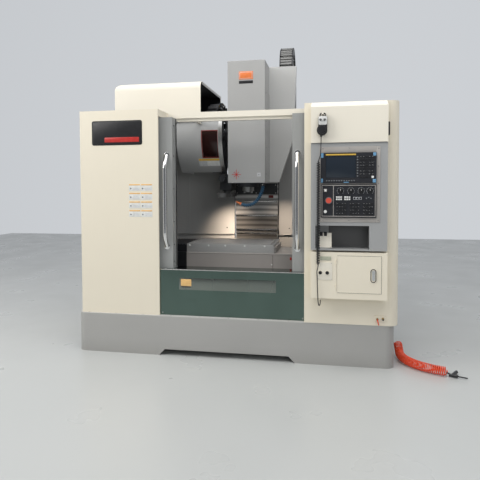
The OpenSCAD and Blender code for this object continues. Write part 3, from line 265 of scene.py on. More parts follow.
class Shader(Nodes):
    """A material with one Principled shader, whose patterns read object coordinates."""

    def __init__(self, name: str) -> None:
        """Starts the material.

        Args:
            name: the material's name.
        """
        self.material = bpy.data.materials.new(name)
        self.material.use_nodes = True
        super().__init__(self.material.node_tree)
        self.tree.nodes.clear()
        out = self.node("ShaderNodeOutputMaterial")
        self.bsdf = self.node("ShaderNodeBsdfPrincipled")
        self.feed(out.inputs["Surface"], self.bsdf.outputs["BSDF"])
        self.coord = self.node("ShaderNodeTexCoord").outputs["Object"]

    def set(self, **values: object) -> None:
        """Sets inputs of the Principled shader, with underscores for the spaces in their names."""
        for key, value in values.items():
            self.feed(self.bsdf.inputs[key.replace("_", " ")], value)

    def noise(self, scale: float, detail: float, stretch: Point | None = None) -> Socket:
        """Gives a noise value.

        Args:
            scale: cells per metre.
            detail: octaves.
            stretch: extra factors for X, Y and Z.

        Returns:
            The noise socket.
        """
        vector = self.coord
        if stretch:
            vector = self.result("ShaderNodeMapping", {"Vector": vector, "Scale": stretch})
        return self.result("ShaderNodeTexNoise", {"Vector": vector, "Scale": scale, "Detail": detail})

    def mix(self, factor: Socket, first: Colour | Socket, second: Colour | Socket) -> Socket:
        """Mixes two colours: the factor is the share of the second."""
        return self.node("ShaderNodeMix", {0: factor, 6: first, 7: second}, data_type="RGBA").outputs[2]

    def worn(self, pattern: Socket, low: float, high: float, share: float, colour: Colour | Socket,
             other: Colour) -> Socket:
        """Mixes a share of another colour in where a pattern rises from low to high."""
        return self.mix(self.ramp(pattern, low, high, 0.0, share), colour, other)

    def roughen(self, pattern: Socket, level: float, down: float, up: float) -> None:
        """Sets the roughness to a level that a pattern lowers and raises."""
        self.set(Roughness=self.ramp(pattern, 0.3, 0.7, level - down, level + up))

    def coordinate(self, axis: Axis) -> Socket:
        """Gives one object coordinate."""
        return self.node("ShaderNodeSeparateXYZ", {0: self.coord}).outputs[axis.value]

    def bump(self, height: Socket, strength: float, distance: float) -> None:
        """Links a height to the shader's normal: the distance is in metres."""
        values = {"Height": height, "Strength": strength, "Distance": distance}
        self.set(Normal=self.result("ShaderNodeBump", values))


@dataclass(frozen=True)
class Finish:
    """What every finish has: a name for its material, and a colour."""

    name: str
    colour: Colour

    def shade(self, factor: float) -> Colour:
        """Gives the colour times a factor."""
        return tuple(c * factor for c in self.colour)

    def dress(self, s: Shader) -> None:
        """Sets the shader's inputs, in each kind of finish in its own way."""
        raise NotImplementedError

    def build(self) -> bpy.types.Material:
        """Builds the material.

        Returns:
            The material.
        """
        s = Shader(self.name)
        self.dress(s)
        return s.material


@dataclass(frozen=True)
class Paint(Finish):
    """Powder coat on sheet metal, with faint orange peel and uneven wear."""

    rough: float = 0.38
    peel: float = 0.12
    grain: float = 700.0
    grime: float = 0.10

    def dress(self, s: Shader) -> None:
        """Darkens the colour in patches and streaks.

        Args:
            s: the shader.
        """
        dark = self.shade(0.72)
        colour = s.worn(s.noise(2.2, 5.0), 0.35, 0.75, self.grime, self.colour, dark)
        colour = s.worn(s.noise(9.0, 6.0, (1.0, 1.0, 0.12)), 0.55, 0.8, self.grime * 0.8, colour, dark)
        s.set(Base_Color=colour)
        s.roughen(s.noise(14.0, 4.0), self.rough, 0.05, 0.07)
        s.bump(s.noise(self.grain, 2.0), self.peel, 0.0004)


@dataclass(frozen=True)
class Brushed(Finish):
    """Brushed or ground metal with its lines along one axis."""

    along: Axis = Axis.X
    rough: float = 0.28
    lines: float = 0.15
    blotch: float = 0.15
    metal: float = 1.0

    def dress(self, s: Shader) -> None:
        """Draws fine lines along the axis, with blotches over them.

        Args:
            s: the shader.
        """
        dark = self.shade(0.68)
        grain = s.noise(900.0, 2.0, tuple(0.015 if a is self.along else 1.0 for a in Axis))
        colour = s.worn(grain, 0.35, 0.65, 0.35, self.colour, dark)
        colour = s.worn(s.noise(3.5, 4.0), 0.4, 0.7, self.blotch, colour, dark)
        s.set(Base_Color=colour, Metallic=self.metal)
        s.roughen(grain, self.rough, 0.07, 0.1)
        s.bump(grain, self.lines, 0.0002)


@dataclass(frozen=True)
class Mirror(Finish):
    """Polished stainless sheet that shows a soft, slightly wavy reflection."""

    rough: float = 0.09

    def dress(self, s: Shader) -> None:
        """Smears the polish and waves the sheet.

        Args:
            s: the shader.
        """
        smear = s.noise(5.0, 5.0, (1.0, 1.0, 0.3))
        s.set(Base_Color=s.mix(smear, self.colour, self.shade(0.8)), Metallic=1.0)
        s.set(Roughness=s.ramp(smear, 0.35, 0.7, self.rough, self.rough + 0.06))
        s.bump(s.noise(1.6, 1.5), 0.35, 0.006)


@dataclass(frozen=True)
class Plastic(Finish):
    """Moulded plastic, rubber or a printed film."""

    rough: float = 0.45
    texture: float = 0.15
    grain: float = 1500.0

    def dress(self, s: Shader) -> None:
        """Lightens the colour in fine patches.

        Args:
            s: the shader.
        """
        light = tuple(min(1.0, c * 1.35 + 0.004) for c in self.colour)
        s.set(Base_Color=s.worn(s.noise(40.0, 4.0), 0.4, 0.75, 0.5, self.colour, light))
        s.roughen(s.noise(60.0, 3.0), self.rough, 0.05, 0.08)
        s.bump(s.noise(self.grain, 2.0), self.texture, 0.0002)


@dataclass(frozen=True)
class Casting(Finish):
    """Painted cast iron with a coarse skin."""

    rough: float = 0.5

    def dress(self, s: Shader) -> None:
        """Darkens the colour where oil has run.

        Args:
            s: the shader.
        """
        s.set(Base_Color=s.worn(s.noise(6.0, 6.0), 0.45, 0.75, 0.5, self.colour, self.shade(0.6)))
        s.roughen(s.noise(25.0, 4.0), self.rough, 0.12, 0.1)
        s.bump(s.noise(180.0, 4.0), 0.35, 0.001)


@dataclass(frozen=True)
class Pane(Finish):
    """Clear or tinted pane."""

    clear: float = 0.85
    rough: float = 0.05
    ior: float = 1.47

    def dress(self, s: Shader) -> None:
        """Lets light through and smears the surface.

        Args:
            s: the shader.
        """
        smear = s.ramp(s.noise(7.0, 5.0, (1, 1, 0.4)), 0.4, 0.8, self.rough, self.rough + 0.12)
        s.set(Base_Color=self.colour, Roughness=smear, IOR=self.ior, Transmission_Weight=self.clear)
        s.bump(s.noise(3.0, 1.0), 0.05, 0.001)


@dataclass(frozen=True)
class Banded(Finish):
    """Brushed sheet with soft darker bands across its height at its grooves' pitch, painted shade in the grooves of
    telescopic covers, and stains.
    """

    dark: Colour
    pitch: float

    def dress(self, s: Shader) -> None:
        """Draws the bands of painted groove shade, and stains between them.

        Args:
            s: the shader.
        """
        grain = s.noise(900.0, 2.0, (0.015, 1.0, 1.0))
        # Painted shade: one dark band at every groove, a pitch apart.
        height = s.math("ADD", s.coordinate(Axis.Z), s.math("MULTIPLY", s.noise(1.5, 2.0), 0.02))
        wave = s.math("SINE", s.math("MULTIPLY", height, math.tau / self.pitch))
        colour = s.worn(wave, -0.5, 0.9, 0.8, self.colour, self.dark)
        colour = s.worn(s.noise(4.0, 5.0, (0.3, 1.0, 1.6)), 0.4, 0.7, 0.6, colour, self.dark)
        s.set(Base_Color=colour, Metallic=0.7)
        s.roughen(grain, 0.3, 0.0, 0.15)
        s.bump(grain, 0.15, 0.0002)


@dataclass(frozen=True)
class Ribbed(Finish):
    """Moulded plastic whose side plates, left and right of its crossbars, are darker than they are."""

    side: Colour
    low_x: float
    high_x: float

    def dress(self, s: Shader) -> None:
        """Colours the side plates and scuffs the bars between them.

        Args:
            s: the shader.
        """
        x = s.coordinate(Axis.X)
        sides = s.math("MAXIMUM", s.math("LESS_THAN", x, self.low_x), s.math("GREATER_THAN", x, self.high_x))
        bars = s.worn(s.noise(30.0, 4.0, (0.3, 1.0, 1.0)), 0.35, 0.7, 0.6, self.colour, self.shade(1.7))
        s.set(Base_Color=s.mix(sides, bars, self.side))
        s.roughen(s.noise(60.0, 3.0), 0.35, 0.0, 0.15)
        s.bump(s.noise(1200.0, 2.0), 0.15, 0.0002)


@dataclass(frozen=True)
class Scuffed(Finish):
    """Painted sheet that is darker towards the floor, with a painted highlight on its upper edge above a height."""

    ledge_highlight: Colour
    ledge_highlight_z: float
    foot_colour: Colour = (0.30, 0.29, 0.27)
    foot_height: float = 0.12

    def dress(self, s: Shader) -> None:
        """Scuffs the sheet, darkens its foot and lightens its upper edge with a painted highlight.

        Args:
            s: the shader.
        """
        colour = s.worn(s.noise(2.0, 5.0), 0.4, 0.75, 0.22, self.colour, self.shade(0.7))
        # Darker towards the floor.
        colour = s.mix(s.ramp(s.coordinate(Axis.Z), 0.0, self.foot_height, 0.35, 0.0), colour, self.foot_colour)
        # Painted highlight: all above the upper edge's height is lighter.
        colour = s.worn(s.coordinate(Axis.Z), self.ledge_highlight_z - 0.002, self.ledge_highlight_z, 1.0, colour, self.ledge_highlight)
        s.set(Base_Color=colour)
        s.roughen(s.noise(20.0, 4.0), 0.36, 0.0, 0.14)
        s.bump(s.noise(600.0, 2.0), 0.18, 0.0005)


CREAM = Paint("cream_coat", (0.83, 0.765, 0.63), rough=0.42, grime=0.05)
# A lighter copy of the cream coat: on the header beam, the hoods and the outlet's sloping face it is painted light,
# where light falls on upper and sloping faces; on the socket plate it is the plate's own pale colour.
PALE_CREAM_AND_PAINTED_LIGHT = Paint("cream_coat_pale_and_painted_light", (0.85, 0.80, 0.69), rough=0.4, grime=0.04)
GREY = Paint("grey_coat", (0.33, 0.335, 0.33), rough=0.36, grime=0.08)
FASCIA_GREY = Paint("fascia_coat", (0.37, 0.375, 0.375), rough=0.4, grime=0.06)
TRAY_GREY = Paint("tray_coat", (0.36, 0.335, 0.315), rough=0.42, grime=0.15)
# The chamber's walls are cream sheet; this mid grey on them and on the wall's upper edge is painted shade.
LINER_PAINTED_SHADE = Paint("chamber_coat_painted_shade", (0.31, 0.31, 0.305), rough=0.4, grime=0.25)
HOUSING_GREY = Paint("housing_coat", (0.52, 0.52, 0.51), rough=0.36, grime=0.07)
HEAD_GREY = Paint("head_coat", (0.40, 0.40, 0.395), rough=0.36, grime=0.07)
# Near black: on the left shield, the left slide, the table's bellows and inside the magazine hood it is painted shade;
# on the magazine disc it is the disc's own black.
BLACK_AND_PAINTED_SHADE = Paint("black_coat_and_painted_shade", (0.010, 0.011, 0.013), rough=0.45, grime=0.2)
# Dark grey: on the change arm and in the cubby it is painted shade, the tone of the shadow round them; on the wheel's
# inner ring it is the ring's dark grey.
DARK_GREY_AND_PAINTED_SHADE = Paint("arm_coat_and_painted_shade", (0.10, 0.10, 0.10), rough=0.4, grime=0.2)
PLATE_BLACK = Paint("plate_black", (0.008, 0.009, 0.011), rough=0.6, grime=0.1)
# The pan's top above 322 mm takes a painted highlight.
PAN = Scuffed("pan_coat", (0.41, 0.405, 0.39), (0.55, 0.54, 0.52), 0.322)
STEEL_X = Brushed("ground_steel_x", (0.58, 0.58, 0.57), Axis.X, rough=0.3)
STEEL_Z = Brushed("ground_steel_z", (0.50, 0.50, 0.49), Axis.Z, rough=0.3)
TABLE_STEEL = Brushed("table_steel", (0.62, 0.61, 0.60), Axis.X, rough=0.48, blotch=0.2, metal=0.75)
# The way cover's steel comes in a lit copy for the upper plates and a shaded copy for the lower ones: painted light
# and shade.
COVER_STEEL = Banded("cover_steel", (0.76, 0.75, 0.73), (0.20, 0.198, 0.195), 0.054)
COVER_PAINTED_SHADE = Banded("cover_steel_painted_shade", (0.30, 0.29, 0.275), (0.07, 0.068, 0.066), 0.054)
BEZEL_STEEL = Paint("bezel_sheet", (0.42, 0.395, 0.37), rough=0.5, grime=0.45)
LIP_STEEL = Brushed("lip_steel", (0.78, 0.77, 0.75), Axis.X, rough=0.22)
# Polished apron steel whose dark green colour is a painted reflection of a green floor.
APRON_PAINTED_REFLECTION = Mirror("polished_sheet_painted_reflection", (0.15, 0.215, 0.19), rough=0.1)
STRIP = Mirror("strip_sheet", (0.27, 0.30, 0.275), rough=0.25)
CHROME = Brushed("chrome_bar", (0.86, 0.86, 0.86), Axis.Z, rough=0.12, lines=0.03, blotch=0.05)
BRASS = Brushed("brass", (0.62, 0.45, 0.20), Axis.Y, rough=0.3)
CAST = Casting("cast_grey", (0.20, 0.21, 0.215))
CAST_DARK = Casting("cast_dark", (0.030, 0.032, 0.036))
CHAIN = Ribbed("chain_plastic", (0.17, 0.17, 0.165), (0.012, 0.012, 0.014), 0.3145, 0.4195)
BLACK = Plastic("black_plastic", (0.014, 0.014, 0.016), rough=0.42)
FILM = Plastic("panel_film", (0.020, 0.021, 0.026), rough=0.4, texture=0.08)
RUBBER = Plastic("cord_rubber", (0.010, 0.010, 0.012), rough=0.5)
SLOT_GREEN = Plastic("slot_cover", (0.44, 0.45, 0.35), rough=0.35, texture=0.05)
WHITE = Plastic("white_print", (0.74, 0.74, 0.72), rough=0.5, texture=0.05)
GREY_KEY = Plastic("grey_key", (0.16, 0.17, 0.18), rough=0.45)
LIGHT_GREY = Plastic("light_grey_face", (0.55, 0.56, 0.57), rough=0.45)
RED = Plastic("red_plastic", (0.50, 0.035, 0.03), rough=0.35)
MUSHROOM = Plastic("stop_cap", (0.62, 0.085, 0.055), rough=0.4)
WINE = Plastic("wine_strip", (0.16, 0.018, 0.012), rough=0.4)
BLUE = Plastic("blue_print", (0.15, 0.33, 0.52), rough=0.45, texture=0.05)
YELLOW = Plastic("yellow_print", (0.68, 0.44, 0.07), rough=0.45, texture=0.05)
SAND = Plastic("sand_print", (0.80, 0.50, 0.20), rough=0.5, texture=0.05)
HOSE_BLUE = Plastic("hose_blue", (0.022, 0.085, 0.16), rough=0.3)
ORANGE = Plastic("hose_orange", (0.78, 0.21, 0.06), rough=0.4)
COIL_RED = Plastic("coil_red", (0.80, 0.085, 0.03), rough=0.25, texture=0.05)
SCREEN = Pane("screen_glass", (0.022, 0.03, 0.042), clear=0.0, rough=0.10)
DOOR_PANE = Pane("door_pane", (0.75, 0.82, 0.82), clear=0.95)
AMBER = Pane("amber_pane", (0.020, 0.006, 0.005), clear=0.15, rough=0.12)


class Finishes(dict):
    """The materials by finish, each built when it is first asked for."""

    def __missing__(self, finish: Finish) -> bpy.types.Material:
        """Builds a finish's material and keeps it."""
        self[finish] = finish.build()
        return self[finish]


def place(name: str, data: bpy.types.Mesh, body: Body, angle: float) -> bpy.types.Object:
    """Links a mesh as an object at the origin and lets it ride on a body.

    Args:
        name: the object's name.
        data: its mesh.
        body: the CAD body that carries it.
        angle: edges sharper than this, in degrees, stay sharp.

    Returns:
        The object.
    """
    data.shade_smooth()
    data.set_sharp_from_angle(angle=math.radians(angle))
    made = bpy.data.objects.new(name, data)
    bpy.context.scene.collection.objects.link(made)
    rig.ride(made, body.value)
    return made


def rounded(x: Pair, z: Pair, radius: float, steps: int = 5) -> list[Pair]:
    """Gives a round-cornered rectangle's outline.

    Args:
        x: low and high first coordinate.
        z: low and high second coordinate.
        radius: corner radius.
        steps: segments in a corner.

    Returns:
        The outline, anticlockwise.
    """
    r = min(radius, (x[1] - x[0]) / 2 - 0.01, (z[1] - z[0]) / 2 - 0.01)
    points = []
    for cx, cz, start in ((x[1] - r, z[0] + r, -90), (x[1] - r, z[1] - r, 0),
                          (x[0] + r, z[1] - r, 90), (x[0] + r, z[0] + r, 180)):
        for k in range(steps + 1):
            a = math.radians(start + 90 * k / steps)
            points.append((cx + r * math.cos(a), cz + r * math.sin(a)))
    return points


class Piece:
    """Gathers solids, in millimetres of the machine's frame, into one named mesh object."""

    def __init__(self, name: str, finishes: Finishes, body: Body = Body.FRAME) -> None:
        """Starts an empty piece.

        Args:
            name: the object's name.
            finishes: where the materials come from.
            body: the CAD body that carries it.
        """
        self.name = name
        self.finishes = finishes
        self.body = body
        self.mesh = bmesh.new()
        self.slots: list[Finish] = []

    def merge(self, part: bmesh.types.BMesh, finish: Finish, bevel: float) -> None:
        """Bevels a part's sharp edges and adds it to the piece.

        Args:
            part: the part, which is freed.
            finish: its finish.
            bevel: edge radius.
        """
        if bevel > 0:
            part.normal_update()
            sharp = [e for e in part.edges if e.calc_face_angle(0.0) > BEVEL_ANGLE]
            bmesh.ops.bevel(part, geom=sharp, offset=bevel * MM, segments=BEVEL_STEPS,
                            affect="EDGES", profile=0.5, clamp_overlap=True)
        if finish not in self.slots:
            self.slots.append(finish)
        for face in part.faces:
            face.material_index = self.slots.index(finish)
        carrier = bpy.data.meshes.new("carrier")
        part.to_mesh(carrier)
        part.free()
        self.mesh.from_mesh(carrier)
        bpy.data.meshes.remove(carrier)

    def box(self, low: Point, high: Point, finish: Finish, bevel: float = 0.0) -> None:
        """Adds a box.

        Args:
            low: lowest corner.
            high: highest corner.
            finish: its finish.
            bevel: edge radius.
        """
        part = bmesh.new()
        bmesh.ops.create_cube(part, size=1.0)
        for vert in part.verts:
            vert.co = [(a + b) / 2 * MM + c * (b - a) * MM for a, b, c in zip(low, high, vert.co)]
        self.merge(part, finish, bevel)

    def strips(self, y: Pair, rows: Sequence[Edges], finish: Finish, bevel: float = 0.0) -> None:
        """Adds boxes between two levels of Y, one for each row of X and Z edges."""
        for x0, x1, z0, z1 in rows:
            self.box((x0, y[0], z0), (x1, y[1], z1), finish, bevel)

    def bar(self, start: Point, axis: Axis, length: float, radius: float, finish: Finish,
            bevel: float = 0.0, sides: int = 32) -> None:
        """Adds a round bar or disc.

        Args:
            start: centre of the first end.
            axis: the bar's axis.
            length: length along the axis, which may be negative.
            radius: its radius.
            finish: its finish.
            bevel: edge radius.
            sides: facets round the bar.
        """
        part = bmesh.new()
        size = abs(length) * MM
        bmesh.ops.create_cone(part, cap_ends=True, segments=sides, radius1=radius * MM, radius2=radius * MM,
                              depth=size, matrix=Matrix.Translation((0, 0, size / 2)))
        turn = axis.turn(math.copysign(1.0, length)).to_matrix().to_4x4()
        bmesh.ops.transform(part, matrix=Matrix.Translation(Vector(start) * MM) @ turn, verts=part.verts)
        self.merge(part, finish, bevel)

    def plate(self, outline: Sequence[Pair], axis: Axis, low: float, high: float, finish: Finish,
              bevel: float = 0.0) -> None:
        """Adds a flat plate from an outline in the plane across an axis.

        Args:
            outline: points in the two other axes, in axis order.
            axis: the axis across the plate.
            low: lower face.
            high: upper face.
            finish: its finish.
            bevel: edge radius.
        """
        part = bmesh.new()
        k = axis.value
        under, over = ([part.verts.new(Vector((*p[:k], level, *p[k:])) * MM) for p in outline]
                       for level in (low, high))
        part.faces.new(under)
        part.faces.new(over[::-1])
        for i in range(len(outline)):
            after = (i + 1) % len(outline)
            part.faces.new([under[i], over[i], over[after], under[after]])
        bmesh.ops.recalc_face_normals(part, faces=part.faces)
        self.merge(part, finish, bevel)

    def label(self, x: Pair, z: Pair, face: float, thick: float, finish: Finish, radius: float) -> None:
        """Adds a round-cornered plate on a face that looks to the operator, at Y = face."""
        bevel = min(0.6, thick / 3)
        self.plate(rounded(x, z, radius), Axis.Y, face - thick, face + LABEL_SINK, finish, bevel)

    def bake(self) -> bpy.types.Mesh:
        """Turns what was gathered into a mesh.

        Returns:
            The mesh, with its materials.
        """
        data = bpy.data.meshes.new(self.name)
        self.mesh.to_mesh(data)
        self.mesh.free()
        for finish in self.slots:
            data.materials.append(self.finishes[finish])
        return data

    def done(self, angle: float = 35.0) -> None:
        """Makes the object and lets it ride: edges sharper than the angle stay sharp."""
        place(self.name, self.bake(), self.body, angle)


class Rule(Nodes):
    """A geometry node tree built in the script, with named inputs."""

    joined = False

    def __init__(self, name: str, inputs: dict[str, str]) -> None:
        """Starts the tree.

        Args:
            name: the tree's name.
            inputs: the kind of each input that comes between geometry and material, by name.
        """
        super().__init__(bpy.data.node_groups.new(name, "GeometryNodeTree"))
        face = self.tree.interface
        for way in ("INPUT", "OUTPUT"):
            face.new_socket("Geometry", in_out=way, socket_type="NodeSocketGeometry")
        self.ids: dict[str, str] = {}
        for label, kind in (*inputs.items(), ("Material", "Material")):
            socket = face.new_socket(label, in_out="INPUT", socket_type="NodeSocket" + kind)
            self.ids[label] = socket.identifier
        self.given = self.node("NodeGroupInput").outputs
        self.end = self.node("NodeGroupOutput")

    def finish(self, geometry: Socket) -> None:
        """Ends the tree with Realize Instances and Set Material.

        Args:
            geometry: what the tree makes.
        """
        real = self.result("GeometryNodeRealizeInstances", {0: geometry})
        values = {"Geometry": real, "Material": self.given["Material"]}
        self.feed(self.end.inputs[0], self.result("GeometryNodeSetMaterial", values))

    def stand(self, points: Socket, turn: Socket) -> None:
        """Ends the tree with the part on every point.

        Args:
            points: the points.
            turn: how the part is turned on each.
        """
        part = self.node("GeometryNodeObjectInfo", {"Object": self.given["Part"]}).outputs["Geometry"]
        values = {"Points": points, "Instance": part, "Rotation": turn}
        self.finish(self.result("GeometryNodeInstanceOnPoints", values))

    def evaluate(self, name: str, points: Sequence[Point], values: dict[str, object]) -> bpy.types.Mesh:
        """Runs the tree on points, joined by edges in order where the rule follows a line.

        Args:
            name: the new mesh's name.
            points: the points, in millimetres.
            values: input values by name.

        Returns:
            The resulting mesh.
        """
        start = bpy.data.meshes.new(name + "_start")
        edges = [(i, i + 1) for i in range(len(points) - 1)] if self.joined else []
        start.from_pydata([tuple(c * MM for c in p) for p in points], edges, [])
        carrier = bpy.data.objects.new(name + "_rule", start)
        bpy.context.scene.collection.objects.link(carrier)
        modifier = carrier.modifiers.new(name, "NODES")
        modifier.node_group = self.tree
        for label, value in values.items():
            modifier[self.ids[label]] = value
        carrier.update_tag()
        bpy.context.view_layer.update()
        graph = bpy.context.evaluated_depsgraph_get()
        made = bpy.data.meshes.new_from_object(carrier.evaluated_get(graph), depsgraph=graph)
        made.name = name
        carrier.modifiers.clear()
        bpy.data.objects.remove(carrier)
        return made


class SweepRule(Rule):
    """Sweeps a round section along a line of points."""

    joined = True

    def __init__(self) -> None:
        """Builds the tree: the line becomes a curve, and a circle is swept along it."""
        super().__init__("tube_on_path", {"Radius": "Float", "Sides": "Int"})
        curve = self.result("GeometryNodeMeshToCurve", {"Mesh": self.given["Geometry"]})
        section = self.result("GeometryNodeCurvePrimitiveCircle", {
            "Resolution": self.given["Sides"], "Radius": self.given["Radius"]})
        self.finish(self.result("GeometryNodeCurveToMesh", {
            "Curve": curve, "Profile Curve": section, "Fill Caps": True}))


class BeadRule(Rule):
    """Strings one part along a line of points, as the segments of a jointed hose lie."""

    joined = True

    def __init__(self) -> None:
        """Builds the tree: the line is divided evenly, and a part stands on each point, along the line."""
        super().__init__("beads_on_path", {"Part": "Object", "Count": "Int"})
        curve = self.result("GeometryNodeMeshToCurve", {"Mesh": self.given["Geometry"]})
        even = self.result("GeometryNodeResampleCurve", {"Curve": curve, "Count": self.given["Count"]})
        tangent = self.result("GeometryNodeInputTangent")
        self.stand(even, self.result("FunctionNodeAlignRotationToVector", {"Vector": tangent}, axis="Z"))


class RingRule(Rule):
    """Sets one part all round an axis along X, as tool pots stand round a disc."""

    def __init__(self) -> None:
        """Builds the tree: a part on each point of a circle, turned outwards."""
        super().__init__("parts_round_axis", {
            "Part": "Object", "Count": "Int", "Radius": "Float", "Centre": "Vector"})
        given = self.given
        line = self.result("GeometryNodeMeshLine", {"Count": given["Count"], "Offset": UNTURNED})
        points = self.result("GeometryNodeMeshToPoints", {"Mesh": line})
        step = self.math("DIVIDE", math.tau, given["Count"])
        angle = self.math("MULTIPLY", self.result("GeometryNodeInputIndex"), step)
        side = self.math("MULTIPLY", self.math("SINE", angle), self.math("MULTIPLY", given["Radius"], -1.0))
        up = self.math("MULTIPLY", self.math("COSINE", angle), given["Radius"])
        spot = self.result("ShaderNodeCombineXYZ", {1: side, 2: up})
        moved = self.result("ShaderNodeVectorMath", {0: spot, 1: given["Centre"]}, operation="ADD")
        ring = self.result("GeometryNodeSetPosition", {"Geometry": points, "Position": moved})
        self.stand(ring, self.result("ShaderNodeCombineXYZ", {0: angle}))


class ScatterRule(Rule):
    """Sets one small part on every point of a mesh."""

    def __init__(self) -> None:
        """Builds the tree: the part on each point, all turned alike."""
        super().__init__("parts_on_points", {"Part": "Object", "Rotation": "Vector"})
        points = self.result("GeometryNodeMeshToPoints", {"Mesh": self.given["Geometry"]})
        self.stand(points, self.given["Rotation"])


@dataclass
class Workshop:
    """What every sub-assembly needs: the finishes and the shared rules."""

    finishes: Finishes = field(default_factory=Finishes)
    sweep: SweepRule = field(default_factory=SweepRule)
    ring: RingRule = field(default_factory=RingRule)
    bead: BeadRule = field(default_factory=BeadRule)
    scatter: ScatterRule = field(default_factory=ScatterRule)
    made: list[str] = field(default_factory=list)

    def piece(self, name: str, body: Body = Body.FRAME) -> Piece:
        """Starts a piece and notes its name."""
        self.made.append(name)
        return Piece(name, self.finishes, body)

    def part(self, name: str) -> Piece:
        """Starts a part, round the origin, that a rule repeats for the piece of that name."""
        return Piece(name + "_part", self.finishes)

    def run(self, rule: Rule, name: str, points: Sequence[Point], finish: Finish, body: Body = Body.FRAME,
            part: Piece | None = None, angle: float = 30.0, **values: object) -> bpy.types.Object:
        """Runs a rule on points and lets the result ride on a body.

        Args:
            rule: the rule.
            name: the object's name.
            points: the points that the rule starts from.
            finish: its finish.
            body: the body that carries it.
            part: what the rule repeats, if it repeats anything.
            angle: edges sharper than this, in degrees, stay sharp.
            values: the rule's other inputs.

        Returns:
            The object.
        """
        if part:
            values["Part"] = bpy.data.objects.new(part.name, part.bake())
        mesh = rule.evaluate(name, points, {**values, "Material": self.finishes[finish]})
        if part:
            bpy.data.objects.remove(values["Part"])
        self.made.append(name)
        return place(name, mesh, body, angle)

    def tube(self, name: str, points: Sequence[Point], radius: float, finish: Finish,
             body: Body = Body.FRAME, sides: int = 8) -> bpy.types.Object:
        """Sweeps a round tube with so many sides along points."""
        return self.run(self.sweep, name, points, finish, body, None, 60.0, Radius=radius * MM, Sides=sides)

    def screws(self, name: str, points: Sequence[Point], radius: float, body: Body = Body.FRAME,
               finish: Finish = STEEL_X, axis: Axis = Axis.Y, sign: int = -1) -> None:
        """Sets domed screw heads on points.

        Args:
            name: the object's name.
            points: centres of the heads' seats.
            radius: head radius.
            body: the body that carries them.
            finish: the heads' finish.
            axis: the axis the heads look along.
            sign: 1 or -1, the way they look.
        """
        head = self.part(name)
        height = radius * 0.6
        head.bar((0, 0, -0.5), Axis.Z, height + 0.5, radius, finish, radius * 0.25, 16)
        head.bar((0, 0, height - 0.3), Axis.Z, 0.6, radius * 0.5, finish, 0.0, 6)
        turn = tuple(axis.turn(sign).to_euler())
        self.run(self.scatter, name, points, finish, body, head, Rotation=turn)


